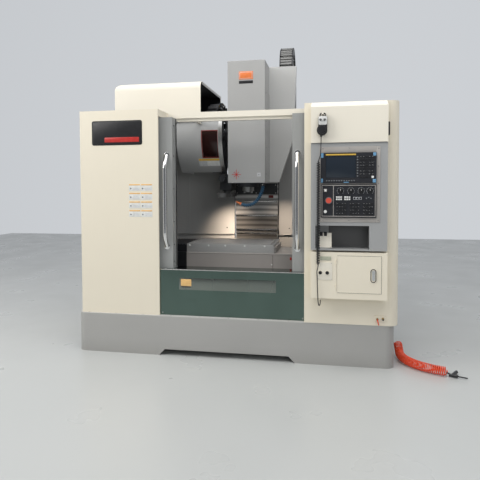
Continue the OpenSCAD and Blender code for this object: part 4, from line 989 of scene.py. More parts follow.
@dataclass
class Studio:
    """Camera, light and floor, in metres and watts."""

    eye: Point = (0.8177, -4.8262, 1.3616)
    yaw: float = 10.745
    pitch: float = 2.184
    roll: float = -0.208
    lens: float = 37.19
    shift: Pair = (0.0015, -0.068)
    sky: float = 0.46
    sky_tint: Colour = (0.95, 0.985, 1.03)
    sky_stops: tuple[Pair, ...] = ((0.0, 0.26), (0.07, 0.34), (0.22, 0.88), (0.5, 0.98), (1.0, 1.40))

    def camera(self) -> None:
        """Sets the camera as the photograph has it."""
        data = bpy.data.cameras.new("camera")
        data.lens = self.lens
        data.shift_x, data.shift_y = self.shift
        made = bpy.data.objects.new("camera", data)
        yaw, pitch, roll = (math.radians(a) for a in (self.yaw, self.pitch, self.roll))
        ahead = Vector((-math.sin(yaw) * math.cos(pitch), math.cos(yaw) * math.cos(pitch), -math.sin(pitch)))
        right = Vector((math.cos(yaw), math.sin(yaw), 0.0))
        up = right.cross(ahead)
        c, s = math.cos(roll), math.sin(roll)
        right, up = right * c + up * s, up * c - right * s
        turn = Matrix((right, up, -ahead)).transposed().to_4x4()
        made.matrix_world = Matrix.Translation(self.eye) @ turn
        bpy.context.scene.collection.objects.link(made)
        bpy.context.scene.camera = made

    def lamp(self, name: str, at: Point, target: Point, size: Pair, power: float,
             colour: Colour) -> bpy.types.Object:
        """Adds a soft rectangular light.

        Args:
            name: its name.
            at: where it hangs.
            target: what it looks at.
            size: its width and height.
            power: watts.
            colour: its colour.

        Returns:
            The light.
        """
        data = bpy.data.lights.new(name, "AREA")
        data.shape = "RECTANGLE"
        data.size, data.size_y = size
        data.energy = power
        data.color = colour
        made = bpy.data.objects.new(name, data)
        made.location = at
        made.rotation_euler = (Vector(target) - Vector(at)).to_track_quat("-Z", "Y").to_euler()
        bpy.context.scene.collection.objects.link(made)
        return made

    def lamps(self) -> None:
        """Hangs three large soft lights round the machine and two small warm ones inside its chamber."""
        self.lamp("side_light", (-5.0, -4.0, 4.2), (0.0, -0.8, 1.2), (4.0, 3.0), 200, (1.0, 0.985, 0.96))
        self.lamp("top_light", (0.5, -2.2, 5.2), (0.1, -0.3, 1.0), (5.0, 4.0), 165, (1.0, 0.99, 0.97))
        fill = self.lamp("front_light", (2.8, -6.5, 2.4), (0.2, 0.0, 1.0), (3.0, 2.5), 60, (0.95, 0.97, 1.0))
        fill.visible_glossy = False
        for name, x, height, power in (("inside_left", -0.20, 1.14, 1.9), ("inside_right", 0.34, 1.27, 1.0)):
            warm = self.lamp(name, (x, -0.10, height), (x, 0.30, 0.88), (0.12, 0.06), power,
                             (1.0, 0.80, 0.62))
            warm.visible_glossy = warm.visible_camera = False
            warm.data.spread = math.radians(82)

    def surroundings(self) -> None:
        """Surrounds the scene with a sky that is dark towards -Y and light towards +Y."""
        world = bpy.data.worlds.new("surroundings")
        bpy.context.scene.world = world
        world.use_nodes = True
        n = Nodes(world.node_tree)
        ground = n.tree.nodes["Background"]
        ground.inputs["Strength"].default_value = self.sky
        way = n.node("ShaderNodeTexCoord").outputs["Generated"]
        depth = n.node("ShaderNodeSeparateXYZ", {0: way}).outputs["Y"]
        tone = n.node("ShaderNodeValToRGB", {0: n.ramp(depth, -1.0, 1.0, 0.0, 1.0)})
        while len(tone.color_ramp.elements) < len(self.sky_stops):
            tone.color_ramp.elements.new(0.5)
        for element, (at, level) in zip(tone.color_ramp.elements, self.sky_stops):
            element.position = at
            element.color = (*(level * c for c in self.sky_tint), 1.0)
        n.feed(ground.inputs["Color"], tone.outputs[0])

    def floor(self) -> None:
        """Lays the plain pale floor."""
        s = Shader("floor_grey")
        s.set(Base_Color=s.worn(s.noise(0.6, 4.0), 0.35, 0.7, 0.3, (0.52, 0.53, 0.52), (0.46, 0.48, 0.47)))
        s.set(Roughness=s.ramp(s.noise(2.0, 3.0), 0.3, 0.7, 0.25, 0.4))
        data = bpy.data.meshes.new("floor")
        data.from_pydata([(-9, -8, 0), (9, -8, 0), (9, 9, 0), (-9, 9, 0)], [], [(0, 1, 2, 3)])
        data.materials.append(s.material)
        floor = bpy.data.objects.new("floor", data)
        bpy.context.scene.collection.objects.link(floor)
        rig.stage(floor)

    def build(self) -> None:
        """Makes lights, surroundings and the floor, and sets the view."""
        self.lamps()
        self.surroundings()
        self.floor()
        view = bpy.context.scene.view_settings
        view.view_transform = "Standard"
        view.exposure = 0.0


def smooth_line(points: Sequence[Point], steps: int) -> list[Point]:
    """Gives a Catmull-Rom curve through points.

    Args:
        points: the points.
        steps: pieces between two points.

    Returns:
        The finer line.
    """
    given = [Vector(p) for p in points]
    given = [given[0] * 2 - given[1], *given, given[-1] * 2 - given[-2]]
    line = []
    for i in range(1, len(given) - 2):
        a, b, c, d = given[i - 1:i + 3]
        for k in range(steps):
            t = k / steps
            line.append(tuple(0.5 * ((2 * b) + (c - a) * t + (2 * a - 5 * b + 4 * c - d) * t * t
                                     + (3 * b - a - 3 * c + d) * t ** 3)))
    line.append(tuple(given[-2]))
    return line


@dataclass
class Cords:
    """The pendant's curly cord and the blow gun's coiled hose."""

    shop: Workshop
    curl_turns: float = 62.0
    curl_radius: float = 10.4
    curl_steps: int = 14
    curl_x: float = 709.0
    curl_top: float = 1560.0
    curl_low: float = 789.0
    cord_y: float = -1124.0
    cord_radius: float = 3.5
    hose_turns: float = 42.0
    hose_radius: float = 30.5
    hose_steps: int = 16
    tube_radius: float = 4.0
    route: tuple[Point, ...] = (
        (1340, -650, 92), (1340, -700, 66), (1342, -750, 42), (1350, -800, 36), (1366, -860, 36),
        (1400, -925, 36), (1450, -985, 36), (1510, -1028, 36), (1570, -1058, 36), (1630, -1084, 36))

    def lay(self, name: str, points: list[Point], radius: float, finish: Finish, far_end: str,
            stands_for: Sequence[str], with_pieces: Sequence[bpy.types.Object] = ()) -> None:
        """Args:
            name: the object's name.
            points: the centreline.
            radius: the wire's radius.
            finish: its finish.
            far_end: what is at its far end.
            stands_for: CAD nodes it replaces.
            with_pieces: pieces on the cord.
        """
        made = self.shop.tube(name, points, radius, finish)
        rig.replaces(made, *stands_for)
        length = sum((Vector(b) - Vector(a)).length for a, b in zip(points, points[1:])) * MM
        path = [[c * MM for c in p] for p in points]
        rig.cord(made, exit=path[0], length=round(length, 2), diameter=2 * radius * MM,
                far_end=far_end, stiffness="medium", lay="hanging" if far_end == "object" else "coiled",
                path=path, with_pieces=list(with_pieces))
        LOG.info("%s: %.2f m of cord", name, length)

    def pendant(self) -> None:
        """Builds the pendant's cord in one run: straight, curly, straight."""
        y = self.cord_y
        upper = [(728, -1119, 1740), (728, -1119, 1712), (727, -1121, 1680), (726, y, 1640), (722, y, 1600)]
        lower = [(704, y, 764), (700, y, 740), (702, y, 700), (704, y, 640), (706, y, 580), (708, y, 530)]
        hook = [(711, -1118, 500), (716, -1110, 486), (721, -1098, 490), (724, -1090, 508), (724, -1089, 528)]
        steps = int(self.curl_turns * self.curl_steps)
        coil = []
        for k in range(steps + 1):
            share = k / steps
            ease = min(1.0, share * self.curl_turns / 1.5, (1 - share) * self.curl_turns / 1.5)
            a = share * self.curl_turns * math.tau
            coil.append((self.curl_x + self.curl_radius * ease * math.cos(a),
                         y + self.curl_radius * ease * math.sin(a),
                         self.curl_top + (self.curl_low - self.curl_top) * share))
        self.lay("pendant_cord_look", smooth_line(upper, 6) + coil + smooth_line(lower + hook, 6),
                 self.cord_radius, RUBBER, "object", ("pendant_cord", "pendant_curl"))

    def air_hose(self) -> None:
        """Winds the coiled hose round a smooth line through its route on the floor."""
        axis = smooth_line(self.route, 12)
        lengths = [0.0]
        for a, b in zip(axis, axis[1:]):
            lengths.append(lengths[-1] + (Vector(b) - Vector(a)).length)
        total, turns = lengths[-1], self.hose_turns
        steps = int(turns * self.hose_steps)
        coil: list[Point] = [(1299, -640, 90), (1308, -640, 90)]
        normal = Vector((1, 0, 0))
        spot = 0
        for k in range(steps + 1):
            share = k / steps
            while spot < len(axis) - 2 and lengths[spot + 1] < share * total:
                spot += 1
            a, b = Vector(axis[spot]), Vector(axis[spot + 1])
            part = (share * total - lengths[spot]) / (lengths[spot + 1] - lengths[spot])
            tangent = (b - a).normalized()
            normal = (normal - tangent * normal.dot(tangent)).normalized()
            side = tangent.cross(normal)
            angle = math.pi + share * turns * math.tau
            ease = min(1.0, 0.35 + share * turns, (1 - share) * turns)
            out = (normal * math.cos(angle) + side * math.sin(angle)) * self.hose_radius * ease
            at = a.lerp(b, part) + out
            coil.append((at.x, at.y, max(at.z, self.tube_radius + 0.6)))
        self.lay("air_hose_look", coil, self.tube_radius, COIL_RED, "tool", ("air_coil",),
                 (frame["nodes"]["air_gun"],))


NODE_FINISH: dict[Finish, tuple[str, ...]] = {
    CREAM: ("left_cover", "right_cover", "lower_box", "lower_box_door",
            "electrical_cabinet", "electrical_door"),
    PALE_CREAM_AND_PAINTED_LIGHT: ("header_beam", "magazine_hood", "control_hood"),
    GREY: ("left_door", "right_door"),
    FASCIA_GREY: ("control_fascia", "magazine_guard"),
    TRAY_GREY: ("right_shield", "x_slide_right", "saddle"),
    HEAD_GREY: ("head_cover",),
    HOUSING_GREY: ("cable_housing",),
    LINER_PAINTED_SHADE: ("chamber_liner",),
    PAN: ("base_pan",),
    APRON_PAINTED_REFLECTION: ("front_apron",),
    CAST: ("bed", "column"),
    CAST_DARK: ("head_casting", "atc_gearbox", "drive_motors", "levelling_feet"),
    # The left shield and left slide are near black for painted shade; their right-hand mates are grey.
    BLACK_AND_PAINTED_SHADE: ("left_shield", "x_slide_left", "magazine_disc"),
    CHAIN: ("cable_chain",),
    TABLE_STEEL: ("table",),
    STEEL_X: ("spindle",),
    DARK_GREY_AND_PAINTED_SHADE: ("change_arm",),
    STEEL_Z: ("guide_rails",),
    COVER_STEEL: ("z_cover_upper", "z_cover_top"),
    COVER_PAINTED_SHADE: ("z_cover_base", "z_cover_lower"),
    CHROME: ("left_handle", "right_handle", "door_latch"),
    DOOR_PANE: ("left_glass", "right_glass"),
    AMBER: ("magazine_window",),
    FILM: ("display_unit", "operator_panel"),
    BLACK: ("mode_knob", "feed_knob", "speed_knob", "rapid_knob", "pendant_body", "handwheel", "air_gun"),
    MUSHROOM: ("estop_button",),
    RUBBER: ("pendant_cord", "pendant_curl"),
    BRASS: ("air_couplings",),
    COIL_RED: ("air_coil",),
    HOSE_BLUE: ("coolant_hose",),
}


def dress_nodes(finishes: Finishes) -> None:
    """Gives every CAD node its finish.

    Args:
        finishes: where the materials come from.
    """
    for finish, names in NODE_FINISH.items():
        for name in names:
            data = frame["nodes"][name].data
            data.materials.clear()
            data.materials.append(finishes[finish])


@dataclass
class SubAssembly:
    """What every sub-assembly has: the workshop that makes its pieces."""

    shop: Workshop


@dataclass
class LeftCoverPlates(SubAssembly):
    """The bare name plate and the blank tags on the left cover."""

    face: float = -985.0
    plate_x: Pair = (-1155.0, -715.0)
    plate_z: Pair = (1721.0, 1922.0)
    tag: Pair = (98.0, 58.0)
    columns: Pair = (-834.0, -731.0)
    top_row: float = 1344.0
    row_pitch: float = 71.0

    def plate(self) -> None:
        """Makes the name plate: a black plate with a raised field and a red bar."""
        (x0, x1), (z0, z1) = self.plate_x, self.plate_z
        p = self.shop.piece("name_plate")
        p.label(self.plate_x, self.plate_z, self.face, 2.2, PLATE_BLACK, 16)
        p.label((x0 + 9, x1 - 9), (z0 + 9, z1 - 9), self.face - 2.2, 0.5, BLACK, 10)
        p.label((x0 + 113, x1 - 26), (z0 + 24, z0 + 64), self.face - 2.7, 0.6, RED, 4)
        p.done()

    def tags(self) -> None:
        """Makes the tags: each has a coloured edge, a grey spot and a few grey lines."""
        p = self.shop.piece("blank_tags")
        width, height = self.tag
        top = self.face - 0.8
        for x in self.columns:
            for row in range(4):
                z = self.top_row - row * self.row_pitch
                p.label((x, x + width), (z, z + height), self.face, 0.8, WHITE, 3)
                p.label((x + 1, x + width - 1), (z + height - 13, z + height - 1), top, 0.3, SAND, 2)
                p.label((x + 9, x + 21), (z + 14, z + 26), top, 0.3, GREY_KEY, 5)
                for k in range(2 + row % 2):
                    p.label((x + 36, x + width - 10 - 7 * k), (z + 12 + 9 * k, z + 15 + 9 * k), top, 0.3,
                            LIGHT_GREY, 1)
        p.done()

    def build(self) -> None:
        """Makes the plate and the tags."""
        self.plate()
        self.tags()


@dataclass
class Console(SubAssembly):
    """Bezel, display details and operator keys."""

    bezel_face: float = -1087.0
    display_face: float = -1103.0
    panel_face: float = -1099.0
    dial_z: float = 1341.0
    dial_marks: float = 24.0
    letters: Pair = (1014.0, 1441.5)
    letter_pitch: float = 21.0
    keys: Pair = (845.0, 1173.0)
    key_pitch: Pair = (19.5, 24.0)
    block_pitch: float = 96.0
    knobs: tuple[tuple[Body, float], ...] = (
        (Body.MODE, 869.0), (Body.FEED, 944.0), (Body.SPEED, 1018.0), (Body.RAPID, 1080.0))

    def key(self, name: str, size: Pair, rise: float, finish: Finish, places: Sequence[Pair],
            face: float) -> None:
        """Sets one kind of key cap at many places.

        Args:
            name: the object's name.
            size: width and height of the cap.
            rise: how far it stands out.
            finish: its finish.
            places: X and Z of each cap's centre.
            face: Y of the face it stands on.
        """
        cap = self.shop.part(name)
        w, h = size[0] / 2, size[1] / 2
        cap.box((-w, -rise, -h), (w, 0.1, h), finish, min(1.4, rise * 0.4))
        points = [(x, face, z) for x, z in places]
        self.shop.run(self.shop.scatter, name, points, finish, part=cap, Rotation=UNTURNED)

    def bezel(self) -> None:
        """Makes the brushed frame round display and panel."""
        p = self.shop.piece("bezel_plate")
        y = self.bezel_face
        rows = ((716, 724.5, 1109, 1666), (1126, 1153, 1109, 1666), (724.5, 1126, 1622, 1666),
                (726, 1125, 1389.5, 1397.5), (724.5, 1126, 1109, 1143))
        p.strips((y - 2, y + 0.2), rows, BEZEL_STEEL, 0.6)
        p.done()
        points = [(1140, y - 2, z) for z in (1125, 1290, 1395, 1520, 1650)]
        points += [(x, y - 2, z) for x in (740, 930) for z in (1122, 1654)]
        self.shop.screws("bezel_screws", points, 4.0, finish=LIP_STEEL)

    def display(self) -> None:
        """Makes the screen, its coloured corners and the keys round it."""
        p = self.shop.piece("display_details")
        y = self.display_face
        p.label((762, 979), (1438, 1598), y + 4.6, 0.8, SCREEN, 3)
        p.label((762, 979), (1602, 1612), y, 0.5, YELLOW, 2)
        for x, z in (((727, 745), (1585, 1619)), ((1101, 1122), (1596, 1619)), ((727, 741), (1402, 1432)),
                     ((1099, 1122), (1401, 1427))):
            p.label(x, z, y, 0.6, BLUE, 2)
        p.label((892, 928), (1401, 1407), y, 1.0, BLUE, 1)
        p.done()
        row = [(769 + k * 18, 1416) for k in range(12)]
        column = [(990.5, 1449 + k * 20) for k in range(8)]
        self.key("soft_keys", (10, 8), 3.0, GREY_KEY, row + column, y)
        (x0, z0), step = self.letters, self.letter_pitch
        cells = [(c, r) for c in range(5) for r in range(8)]
        letters = [(x0 + c * step, z0 + r * step) for c, r in cells if (c, r) != (4, 0)]
        self.key("letter_keys", (16.5, 15.5), 3.2, BLACK, letters, y)
        marks = [(x0 + c * step + d, z0 + r * step + 1.5) for c, r in cells for d in (-3.5, 1.5)
                 if (c * r + r) % 3]
        self.key("key_marks", (3.2, 4.2), 3.5, LIGHT_GREY, marks, y)
        self.key("power_key", (17, 16), 3.4, WHITE, [(x0 + 4 * step, z0)], y)

    def panel(self) -> None:
        """Makes the operator panel's frame, keys and button caps."""
        p = self.shop.piece("panel_details")
        y = self.panel_face
        p.strips((y - 3, y), [(x - 0.3, x + 4.3, 1152, 1383) for x in (733, 816, 1115)], BEZEL_STEEL, 1.2)
        p.strips((y - 3.2, y), [(733, 1119, z - 0.3, z + 4.3) for z in (1152, 1379)], BEZEL_STEEL, 1.2)
        p.box((749, y - 10.5, 1334), (771, y - 7.8, 1356), BEZEL_STEEL, 1.5)
        p.box((753, y - 11.2, 1338), (767, y - 10, 1352), WHITE, 1.5)
        p.bar((760, y - 7.8, 1188), Axis.Y, -2.4, 11.5, WHITE, 1.2)
        p.bar((784, y - 0.1, 1270), Axis.Y, -0.7, 26, GREY_KEY)
        p.done()
        whites = [(x + c * 15.5, 1279 + r * 16) for x in (843, 903) for c in range(3) for r in range(2)]
        self.key("white_keys", (12.5, 12), 4.2, WHITE, whites, y)
        (x0, z0), (dx, dz) = self.keys, self.key_pitch
        cells = [(g, c, r) for g in range(3) for c in range(4) for r in range(4)]
        keys = [(x0 + g * self.block_pitch + c * dx, z0 + r * dz) for g, c, r in cells]
        self.key("panel_keys", (16.5, 18), 4.2, BLACK, keys, y)
        prints = [(x, z + 3) for (x, z), (g, c, r) in zip(keys, cells) if (g + c * 3 + r * 2) % 4 != 1]
        self.key("panel_prints", (7.0, 2.6), 4.5, LIGHT_GREY, prints, y)
        triple = [(970 + c * 21, 1286) for c in range(3)]
        self.key("outline_keys", (17, 20), 4.2, LIGHT_GREY, triple, y)
        self.key("outline_inner", (13, 16), 4.8, FILM, triple, y)
        lamps = [(1055 + c * 16, 1286 + (c % 2) * 7) for c in range(3)]
        self.key("lamp_keys", (9, 9), 4.6, GREY_KEY, lamps, y)

    def dials(self) -> None:
        """Makes the dials' scale marks and skirts, and the knobs' pointers."""
        z, out = self.dial_z, self.dial_marks
        turns = [math.radians(k * 27) for k in range(-5, 6)]
        ticks = [(x + out * math.sin(a), z + out * math.cos(a)) for _, x in self.knobs for a in turns]
        self.key("dial_marks", (3.4, 3.4), 0.9, LIGHT_GREY, ticks, self.panel_face)
        skirts = self.shop.piece("dial_skirts")
        for _, x in self.knobs:
            skirts.bar((x, self.panel_face, z), Axis.Y, -1.4, 19.5, BLACK, 0.4, 32)
        skirts.done()
        for body, x in self.knobs:
            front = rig.box(body.value)[0].y / MM
            pointer = self.shop.piece(body.value + "_pointer", body)
            pointer.box((x - 1.4, front - 0.5, z + 2), (x + 1.4, front + 1, z + 13), WHITE, 0.2)
            pointer.done(0.0)

    def build(self) -> None:
        """Makes all of the console's pieces."""
        self.bezel()
        self.display()
        self.panel()
        self.dials()


@dataclass
class LowerBox(SubAssembly):
    """Plates and seams of the lower box, the port at the hood's side, and dark sheets in the cubby that are painted
    shade.
    """

    front: float = -1105.0
    hatch: Edges = (846.0, 1163.0, 588.0, 860.0)

    def socket(self) -> None:
        """Makes the socket plate, the slot above it and their screws."""
        p = self.shop.piece("socket_plate")
        p.label((700, 812), (680, 811), self.front - 2, 0.7, PALE_CREAM_AND_PAINTED_LIGHT, 3)
        p.label((712, 810), (826, 855), self.front, 0.5, SLOT_GREEN, 2)
        for x in (724, 775):
            p.bar((x, self.front - 9.9, 734), Axis.Y, -1.0, 13.2, BLACK, 0.3)
        ends = [(x - 4.5, x + 0.5, 821, 857) for x in (722, 808)]
        p.strips((self.front - 0.9, self.front + 0.2), ends, CREAM, 0.4)
        p.done()
        points = [(x, self.front - 2.7, z) for x in (707, 805) for z in (687, 804)]
        self.shop.screws("socket_screws", points, 2.6, finish=BEZEL_STEEL)

    def door(self) -> None:
        """Makes the seam round the door and the plate under its latch."""
        seam = self.shop.piece("hatch_seam")
        x0, x1, z0, z1 = self.hatch
        rows = ((x0 + 3, x1 + 2.4, z0 - 2.4, z0 - 0.4), (x0 + 3, x1 + 2.4, z1 + 0.4, z1 + 2.4),
                (x1 + 0.4, x1 + 2.4, z0 - 2.4, z1 + 2.4))
        seam.strips((self.front - 0.5, self.front + 0.2), rows, BLACK)
        seam.done()
        plate = self.shop.piece("latch_plate", Body.LOWER_DOOR)
        plate.label((1086, 1128), (669, 769), -1108.3, 1.2, BLACK, 20)
        plate.done()

    def fascia(self) -> None:
        """Makes the outlet's sloping face in a lighter cream that is painted light, dark sheets in the cubby that are
        painted shade, and the port at the hood's side.
        """
        outlet = self.shop.piece("outlet_face")
        # The sloping face is laid in the lighter cream: painted light.
        slope = [(-1014.6, 1023), (-1046.6, 914), (-1045.6, 914), (-1013.6, 1023)]
        outlet.plate(slope, Axis.X, 713.5, 806.0, PALE_CREAM_AND_PAINTED_LIGHT)
        for x in (728, 760):
            outlet.box((x - 12, -1022, 996), (x + 12, -1004, 1030), BLACK, 3.0)
        outlet.done()
        # Dark sheets inside the cubby: painted shade in the recess.
        cubby = self.shop.piece("cubby_lining")
        cubby.strips((-966.2, -964.5), ((784, 1075, 911, 1081),), DARK_GREY_AND_PAINTED_SHADE)
        cubby.strips((-1078, -966), ((784, 1075, 1080.2, 1082.2), (1073.6, 1075.4, 912, 1081)), DARK_GREY_AND_PAINTED_SHADE)
        cubby.done()
        port = self.shop.piece("side_port")
        port.box((1206.2, -1088, 1745), (1219, -1040, 1841), BLACK, 2.0)
        port.bar((1218.5, -1064, 1770), Axis.X, 1.6, 7, GREY_KEY, 0.4)
        port.done()

    def build(self) -> None:
        """Makes the pieces."""
        self.socket()
        self.door()
        self.fascia()


@dataclass
class Pendant(SubAssembly):
    """Face of the hand pendant and the ring of its wheel."""

    face: float = -1140.5
    wheel_face: float = -1150.7
    wheel: Pair = (735.0, 1786.0)

    def build(self) -> None:
        """Makes the face plate, the knob caps and the wheel's ring."""
        p = self.shop.piece("pendant_face")
        p.label((709.5, 770.5), (1823, 1886), self.face, 0.8, WHITE, 12)
        for x in (724, 754):
            p.bar((x, self.face - 12.6, 1860), Axis.Y, -1.6, 8.4, BLACK, 0.4)
            p.box((x - 1, self.face - 14.9, 1860), (x + 1, self.face - 14, 1868), WHITE)
        p.done()
        ring = self.shop.piece("wheel_ring", Body.WHEEL)
        x, z = self.wheel
        ring.bar((x, self.wheel_face, z), Axis.Y, -0.9, 33.5, BLACK, 0.3, 48)
        ring.bar((x, self.wheel_face - 0.8, z), Axis.Y, -0.5, 29.5, DARK_GREY_AND_PAINTED_SHADE, 0.2, 48)
        ring.done()


@dataclass
class HeadDress(SubAssembly):
    """Blank badge, axis mark and screws on the head cover."""

    face: float = -350.0
    side: float = 206.0
    mark: Pair = (-57.4, 1489.5)
    mark_half: float = 2.3

    def badges(self) -> None:
        """Makes the orange badge with its black bar, and a small grey plate."""
        p = self.shop.piece("head_badges", Body.HEAD)
        p.label((-31, 99), (2352, 2424), self.face, 1.6, ORANGE, 5)
        p.label((-24, 92), (2359, 2417), self.face - 1.6, 0.4, LIGHT_GREY, 3)
        p.label((-21, 89), (2362, 2414), self.face - 2.0, 0.4, ORANGE, 3)
        p.label((-31, 99), (2314, 2341), self.face, 1.2, BLACK, 5)
        p.label((134, 168), (1470, 1504), self.face, 0.8, LIGHT_GREY, 2)
        p.bar((151, self.face - 0.8, 1487), Axis.Y, -0.8, 4, GREY_KEY)
        p.done()

    def star(self) -> None:
        """Makes the red mark of crossed bars, each a little higher than the one below it."""
        p = self.shop.piece("axis_mark", Body.HEAD)
        cx, cz = self.mark
        corners = ((-1, -1), (1, -1), (1, 1), (-1, 1))
        for k, reach in ((0, 43), (2, 45), (1, 34), (3, 34)):
            a = math.radians(45 * k)
            dx, dz = reach * math.cos(a), reach * math.sin(a)
            nx, nz = -self.mark_half * math.sin(a), self.mark_half * math.cos(a)
            outline = [(cx + i * dx + j * nx, cz + i * dz + j * nz) for i, j in corners]
            p.plate(outline, Axis.Y, self.face - 0.7 - k * 0.05, self.face + 0.1, RED)
        p.done()

    def build(self) -> None:
        """Makes the head's pieces."""
        self.badges()
        self.star()
        self.shop.screws("panel_screws", [(x, self.face, 1742) for x in (-68, 138)], 3.6, Body.HEAD)
        sides = [(self.side, -274, z) for z in (2238, 1980, 1736, 1494)]
        self.shop.screws("side_screws", sides, 5.0, Body.HEAD, GREY_KEY, Axis.X, 1)


@dataclass
class JointedHose(SubAssembly):
    """The coolant hose below the head: ball joints, an orange nozzle and its block."""

    radius: float = 17.5
    joints: int = 17
    points: tuple[Point, ...] = ((176, -268, 1388), (174, -272, 1360), (162, -278, 1320), (144, -284, 1282),
                                 (122, -290, 1248), (92, -294, 1222), (56, -297, 1208), (18, -299, 1206),
                                 (-14, -300, 1214))
    tip: Point = (-72, -300, 1240)

    def build(self) -> None:
        """Strings the joints by the bead rule and adds nozzle and block."""
        joint = self.shop.part("hose_joints")
        joint.bar((0, 0, -9), Axis.Z, 10, self.radius, HOSE_BLUE, 3.2, 24)
        joint.bar((0, 0, 0), Axis.Z, 9, self.radius * 0.74, HOSE_BLUE, 1.5, 24)
        path = smooth_line(self.points, 6)
        hose = self.shop.run(self.shop.bead, "hose_joints", path, HOSE_BLUE, Body.HEAD, joint, 40.0,
                             Count=self.joints)
        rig.replaces(hose, "coolant_hose")
        start, end = Vector(self.points[-1]), Vector(self.tip)
        for name, low, high, radius in (("hose_socket", 0.0, 0.38, 12.0), ("hose_nozzle", 0.3, 0.8, 8.6),
                                        ("hose_tip", 0.72, 1.0, 5.2)):
            line = [tuple(start.lerp(end, share)) for share in (low, high)]
            self.shop.tube(name, line, radius, ORANGE, Body.HEAD, 20)
        block = self.shop.piece("hose_block", Body.HEAD)
        block.box((158.3, -285.7, 1384.3), (193.7, -250.3, 1411), CAST_DARK, 2.0)
        block.bar((176, -285.5, 1397), Axis.Y, -2.5, 6, LIP_STEEL, 0.6)
        block.done()


@dataclass
class WayCovers(SubAssembly):
    """Bright lips and wipers of the telescopic cover, and the dark plate that holds it to the head."""

    centre: float = 30.0
    plate_face: float = 276.0
    lip: float = 15.0
    wiper: float = 3.5
    inset: float = 2.0

    def build(self) -> None:
        """Makes the lips, a tag, and the plate with its screws."""
        for name, body, half, face, low, rise in (
                ("cover_lip_top", Body.HEAD, 225, 282.0, 1220.0, 5.0),
                ("cover_lip_upper", Body.COVER_UPPER, 221, 288.0, 1071.7, 2.0),
                ("cover_lip_lower", Body.COVER_LOWER, 217, 294.0, 923.3, 2.0)):
            p = self.shop.piece(name, body)
            x0, x1 = self.centre - half + self.inset, self.centre + half - self.inset
            p.box((x0, face - rise, low), (x1, face + 0.2, low + self.lip), LIP_STEEL, min(1.6, rise * 0.4))
            p.box((x0 + 2, face - rise * 0.8, low - self.wiper), (x1 - 2, face + 1, low), BLACK)
            p.done()
        base = self.shop.piece("cover_lip_base")
        base.box((self.centre - 211, 298.0, 884), (self.centre + 211, 300.2, 898), LIP_STEEL, 0.6)
        base.done()
        tag = self.shop.piece("cover_tag", Body.HEAD)
        tag.label((158, 208), (1262, 1290), self.plate_face, 1.0, WINE, 3)
        tag.done()
        plate = self.shop.piece("cover_plate", Body.HEAD)
        plate.box((-190, self.plate_face, 1300), (250, 282.2, 1410), CAST_DARK, 1.5)
        plate.done()
        points = [(x, self.plate_face, z) for x in (-170, 30, 232) for z in (1315, 1395)]
        self.shop.screws("cover_plate_screws", points, 6.0, Body.HEAD)


